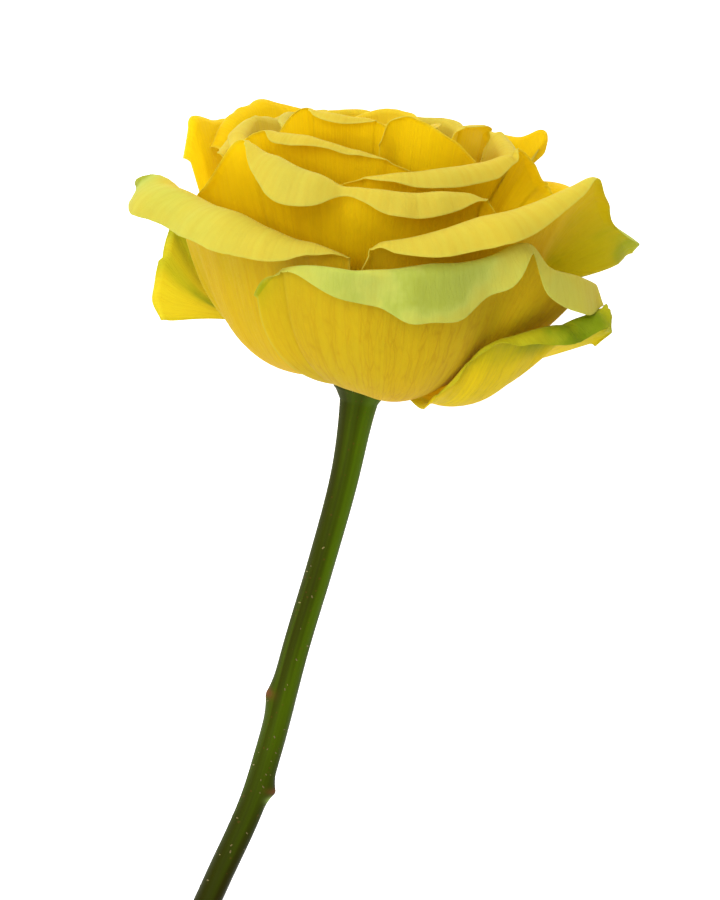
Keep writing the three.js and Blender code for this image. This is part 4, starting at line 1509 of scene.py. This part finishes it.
@dataclass
class Stem:
    """The stem from the receptacle to the slanted cut that it lies on, in millimetres."""

    place: Placement = BLOOM_PLACE
    length: float = 177.0
    slim: float = 3.05
    receptacle: float = 6.5
    profile: tuple[tuple[float, float], ...] = (
        (6.2, 0.14),
        (3.0, 0.52),
        (-0.7, 0.95),
        (-2.4, 1.0),
        (-4.6, 0.92),
    )
    course: tuple[tuple[float, float], ...] = (
        (0.042, -0.004),
        (0.14, -0.022),
        (0.25, -0.051),
        (0.36, -0.083),
        (0.5, -0.119),
        (0.56, -0.137),
        (0.68, -0.189),
        (0.82, -0.25),
        (0.9, -0.278),
        (1.0, -0.302),
    )
    knots: tuple[Node, ...] = (
        Node(0.43, 0, 0.22, 3.6),
        Node(0.549, 180, 0.3, 2.2, bud=True),
        Node(0.843, 30, 0.2, 2.2),
    )
    cut_slant: float = 1.1
    flare_length: float = 0.053
    knot_lip: float = 0.07
    look_ahead: float = 0.8
    rings: int = 420
    sides: int = 44
    pores_per_square_metre: float = 6e4
    pore_radius: float = 0.22

    def build(self, effects: Effects) -> None:
        """Builds and dresses the stem and the pores of its bark."""
        bark = BarkFinish().material(effects)
        centres, radii, down = self.centre_line()
        mesh = self.swept(centres, radii, bark)
        self.shape(mesh, centres, down)
        stem = piece("stem_skin", mesh, bark)
        pore = HairFinish("bark_pore", srgb(118, 108, 44), srgb(84, 66, 26)).material(effects)
        ground = piece("pore_ground", mesh.copy(), bark)
        values = {
            "Density": self.pores_per_square_metre,
            "Thickness": self.pore_radius * MM,
            "Seed": 11,
            "Finish": pore,
        }
        pores = piece("stem_pores", run_tree(ground, scatter_tree(Scattered.PORES), values), pore)
        keep(stem, Slot.STEM, "stem")
        keep(pores, Slot.STEM)

    def centre_line(self) -> tuple[Array, Array, Array]:
        """The stem's centres in the row's frame, its radii, and how far down each is, as shares."""
        axis = self.place.apply(np.array([[0, 0, 1.0]]))[0] - np.array(self.place.origin)
        head = np.array([axis * along for along, _ in self.profile])
        head_radii = np.array([share * self.receptacle for _, share in self.profile])
        knots = np.array(self.course)
        down = np.linspace(knots[0, 0], 1, 150)
        slopes = np.gradient(knots[:, 1], knots[:, 0])
        k = np.clip(np.searchsorted(knots[:, 0], down, side="right") - 1, 0, len(knots) - 2)
        gap = knots[k + 1, 0] - knots[k, 0]
        s = (down - knots[k, 0]) / gap
        aside = between(knots[k, 1], knots[k + 1, 1], gap * slopes[k], gap * slopes[k + 1], s)
        rise = math.radians(self.place.rise)
        line = np.stack([aside, -down * math.cos(rise), -down * math.sin(rise)], axis=1) * self.length
        flare = (self.receptacle * 0.66 - self.slim) * np.exp(-(down - knots[0, 0]) / self.flare_length)
        centres = np.concatenate([head, line]) + np.array(self.place.origin)
        radii = np.concatenate([head_radii, self.slim + flare])
        return centres, radii, np.concatenate([np.full(len(head), 0.0), down])

    def swept(self, centres: Array, radii: Array, bark: bpy.types.Material) -> bpy.types.Mesh:
        """The round skin along the centre line."""
        line = bpy.data.curves.new("stem_course", "CURVE")
        line.dimensions = "3D"
        spline = line.splines.new("POLY")
        spline.points.add(len(centres) - 1)
        for point, centre, radius in zip(spline.points, centres, radii):
            point.co = (*(centre * MM), 1.0)
            point.radius = radius * MM
        source = in_scene("stem_course", line)
        return run_tree(source, sweep_tree(), {"Rings": self.rings, "Sides": self.sides, "Finish": bark})

    def shape(self, mesh: bpy.types.Mesh, centres: Array, down: Array) -> None:
        """Gives the swept skin its knots, faint ridges, slanted cut and the values that its finish reads.

        Args:
            mesh: The skin, which is changed.
            centres: The centre line.
            down: How far down the stem each centre is.
        """
        count = len(mesh.vertices)
        points = np.empty(count * 3)
        mesh.vertices.foreach_get("co", points)
        points = points.reshape(-1, 3) / MM
        swept = np.empty(count, np.float32)
        mesh.attributes["swept"].data.foreach_get("value", swept)
        gone = np.concatenate([[0], np.cumsum(np.linalg.norm(np.diff(centres, axis=0), axis=1))])
        at = swept * gone[-1]
        behind, middle, ahead = (
            np.stack([np.interp(at + gap, gone, centres[:, k]) for k in range(3)], axis=1)
            for gap in (-self.look_ahead, 0.0, self.look_ahead)
        )
        tangent = unit(ahead - behind)
        side = unit(np.cross(tangent, np.array([0, 0, 1.0])))
        top = np.cross(side, tangent)
        arm = points - middle
        radius = np.linalg.norm(arm, axis=1)
        angle = np.arctan2(np.sum(arm * top, axis=1), np.sum(arm * side, axis=1))
        where = np.interp(at, gone, down)
        swell = 1 + 0.012 * np.sin(5 * angle + 3 * where) + 0.008 * np.sin(3 * angle - 9 * where)
        scar, bud = np.zeros(count), np.zeros(count)
        for knot in self.knots:
            facing = np.maximum(np.cos(angle - math.radians(knot.towards)), 0)
            off = (where - knot.down) * self.length / knot.length
            swell += knot.swell * facing**2 * np.exp(-(off**2))
            lip = np.exp(-((off / 0.35) ** 2)) * facing**4
            swell += self.knot_lip * lip * (1 + 0.5 * np.sin(9 * angle))
            scar = np.maximum(scar, np.exp(-(((off + 0.15) / 0.3) ** 2)) * facing**3)
            if knot.bud:
                bud = np.maximum(bud, np.exp(-(((off - 0.75) / 0.4) ** 2)) * facing**6)
        end = gone[-1] - at
        shear = -self.cut_slant * radius * np.sin(angle) * ease(9.0, 0.0, end)
        points = middle + arm * swell[:, None] + tangent * shear[:, None]
        points[:, 2] = np.maximum(points[:, 2], FLOOR_GAP)
        mesh.vertices.foreach_set("co", (points * MM).ravel())
        for name, value in {"down": where, "scar": np.clip(scar * 1.2, 0, 1), "bud": bud}.items():
            add_float(mesh, name, value)
        add_float(mesh, "chance", ease(0.1, 0.4, where) * (1 - 0.9 * ease(0.98, 0.99, where)))
        add_float(mesh, "cut", np.zeros(count))
        around = angle / (2 * math.pi) + 0.5
        add_uv(mesh, np.stack([np.abs(around - 0.5) * 2, at / 30], axis=1))
        self.dress_cut(mesh)
        mesh.update()

    @staticmethod
    def dress_cut(mesh: bpy.types.Mesh) -> None:
        """Parts the cut face from the bark and marks it as pith."""
        form = bmesh.new()
        form.from_mesh(mesh)
        caps = [face for face in form.faces if len(face.verts) > 4]
        face = min(caps, key=lambda f: f.calc_center_median().y)
        bmesh.ops.inset_individual(form, faces=[face], thickness=0.35 * MM, depth=0.0)
        layer = form.verts.layers.float["cut"]
        for vert in face.verts:
            vert[layer] = 1.0
        for cap in caps:
            cap.smooth = False
        form.to_mesh(mesh)
        form.free()


@dataclass
class Studio:
    """The pale floor, the soft lights and the camera above the rose. Sizes in metres."""

    camera_from_seats: tuple[float, float, float] = (-0.000444, -0.0182, 1.002)
    lens: float = 180.2
    sensor: float = 36.0
    floor_size: float = 8.0
    world_light: float = 0.72
    lights: tuple[tuple[str, tuple[float, float, float], float, float], ...] = (
        ("key", (-0.4, 0.28, 1.15), 0.6, 9.4),
        ("top", (-0.2, 0.95, 0.45), 0.8, 4.0),
        ("fill", (-0.5, -0.75, 0.7), 0.8, 4.4),
    )

    def build(self) -> None:
        """Builds the studio."""
        self.lay_floor()
        target = Vector(BLOOM_PLACE.origin) * MM
        for name, place, size, power in self.lights:
            data = bpy.data.lights.new(name, "AREA")
            data.size, data.energy = size, power
            lamp = in_scene(name, data)
            lamp.location = place
            lamp.rotation_euler = (Vector(place) - target).to_track_quat("Z", "Y").to_euler()
        world = bpy.data.worlds.new("studio")
        world.use_nodes = True
        world.node_tree.nodes["Background"].inputs["Color"].default_value = (1.0, 1.0, 1.0, 1.0)
        world.node_tree.nodes["Background"].inputs["Strength"].default_value = self.world_light
        scene = bpy.context.scene
        scene.world = world
        scene.view_settings.view_transform = "Standard"
        data = bpy.data.cameras.new("camera")
        data.sensor_fit, data.sensor_width, data.lens = "AUTO", self.sensor, self.lens
        camera = in_scene("camera", data)
        camera.location = target + Vector(self.camera_from_seats)
        scene.camera = camera

    def lay_floor(self) -> None:
        """Lays the floor."""
        half = self.floor_size / 2
        mesh = bpy.data.meshes.new("floor")
        corners = [(-half, -half, 0), (half, -half, 0), (half, half, 0), (-half, half, 0)]
        mesh.from_pydata(corners, [], [(0, 1, 2, 3)])
        floor = piece("floor", mesh, FloorFinish().material())


def main() -> None:
    """Builds the studio and the rose, and reports each piece."""
    logging.basicConfig(level=logging.INFO, format="%(name)s: %(message)s")
    Studio().build()
    effects = Effects.make()
    Bloom().build(effects)
    Calyx().build(effects)
    Stem().build(effects)


if __name__ == "__main__":
    main()
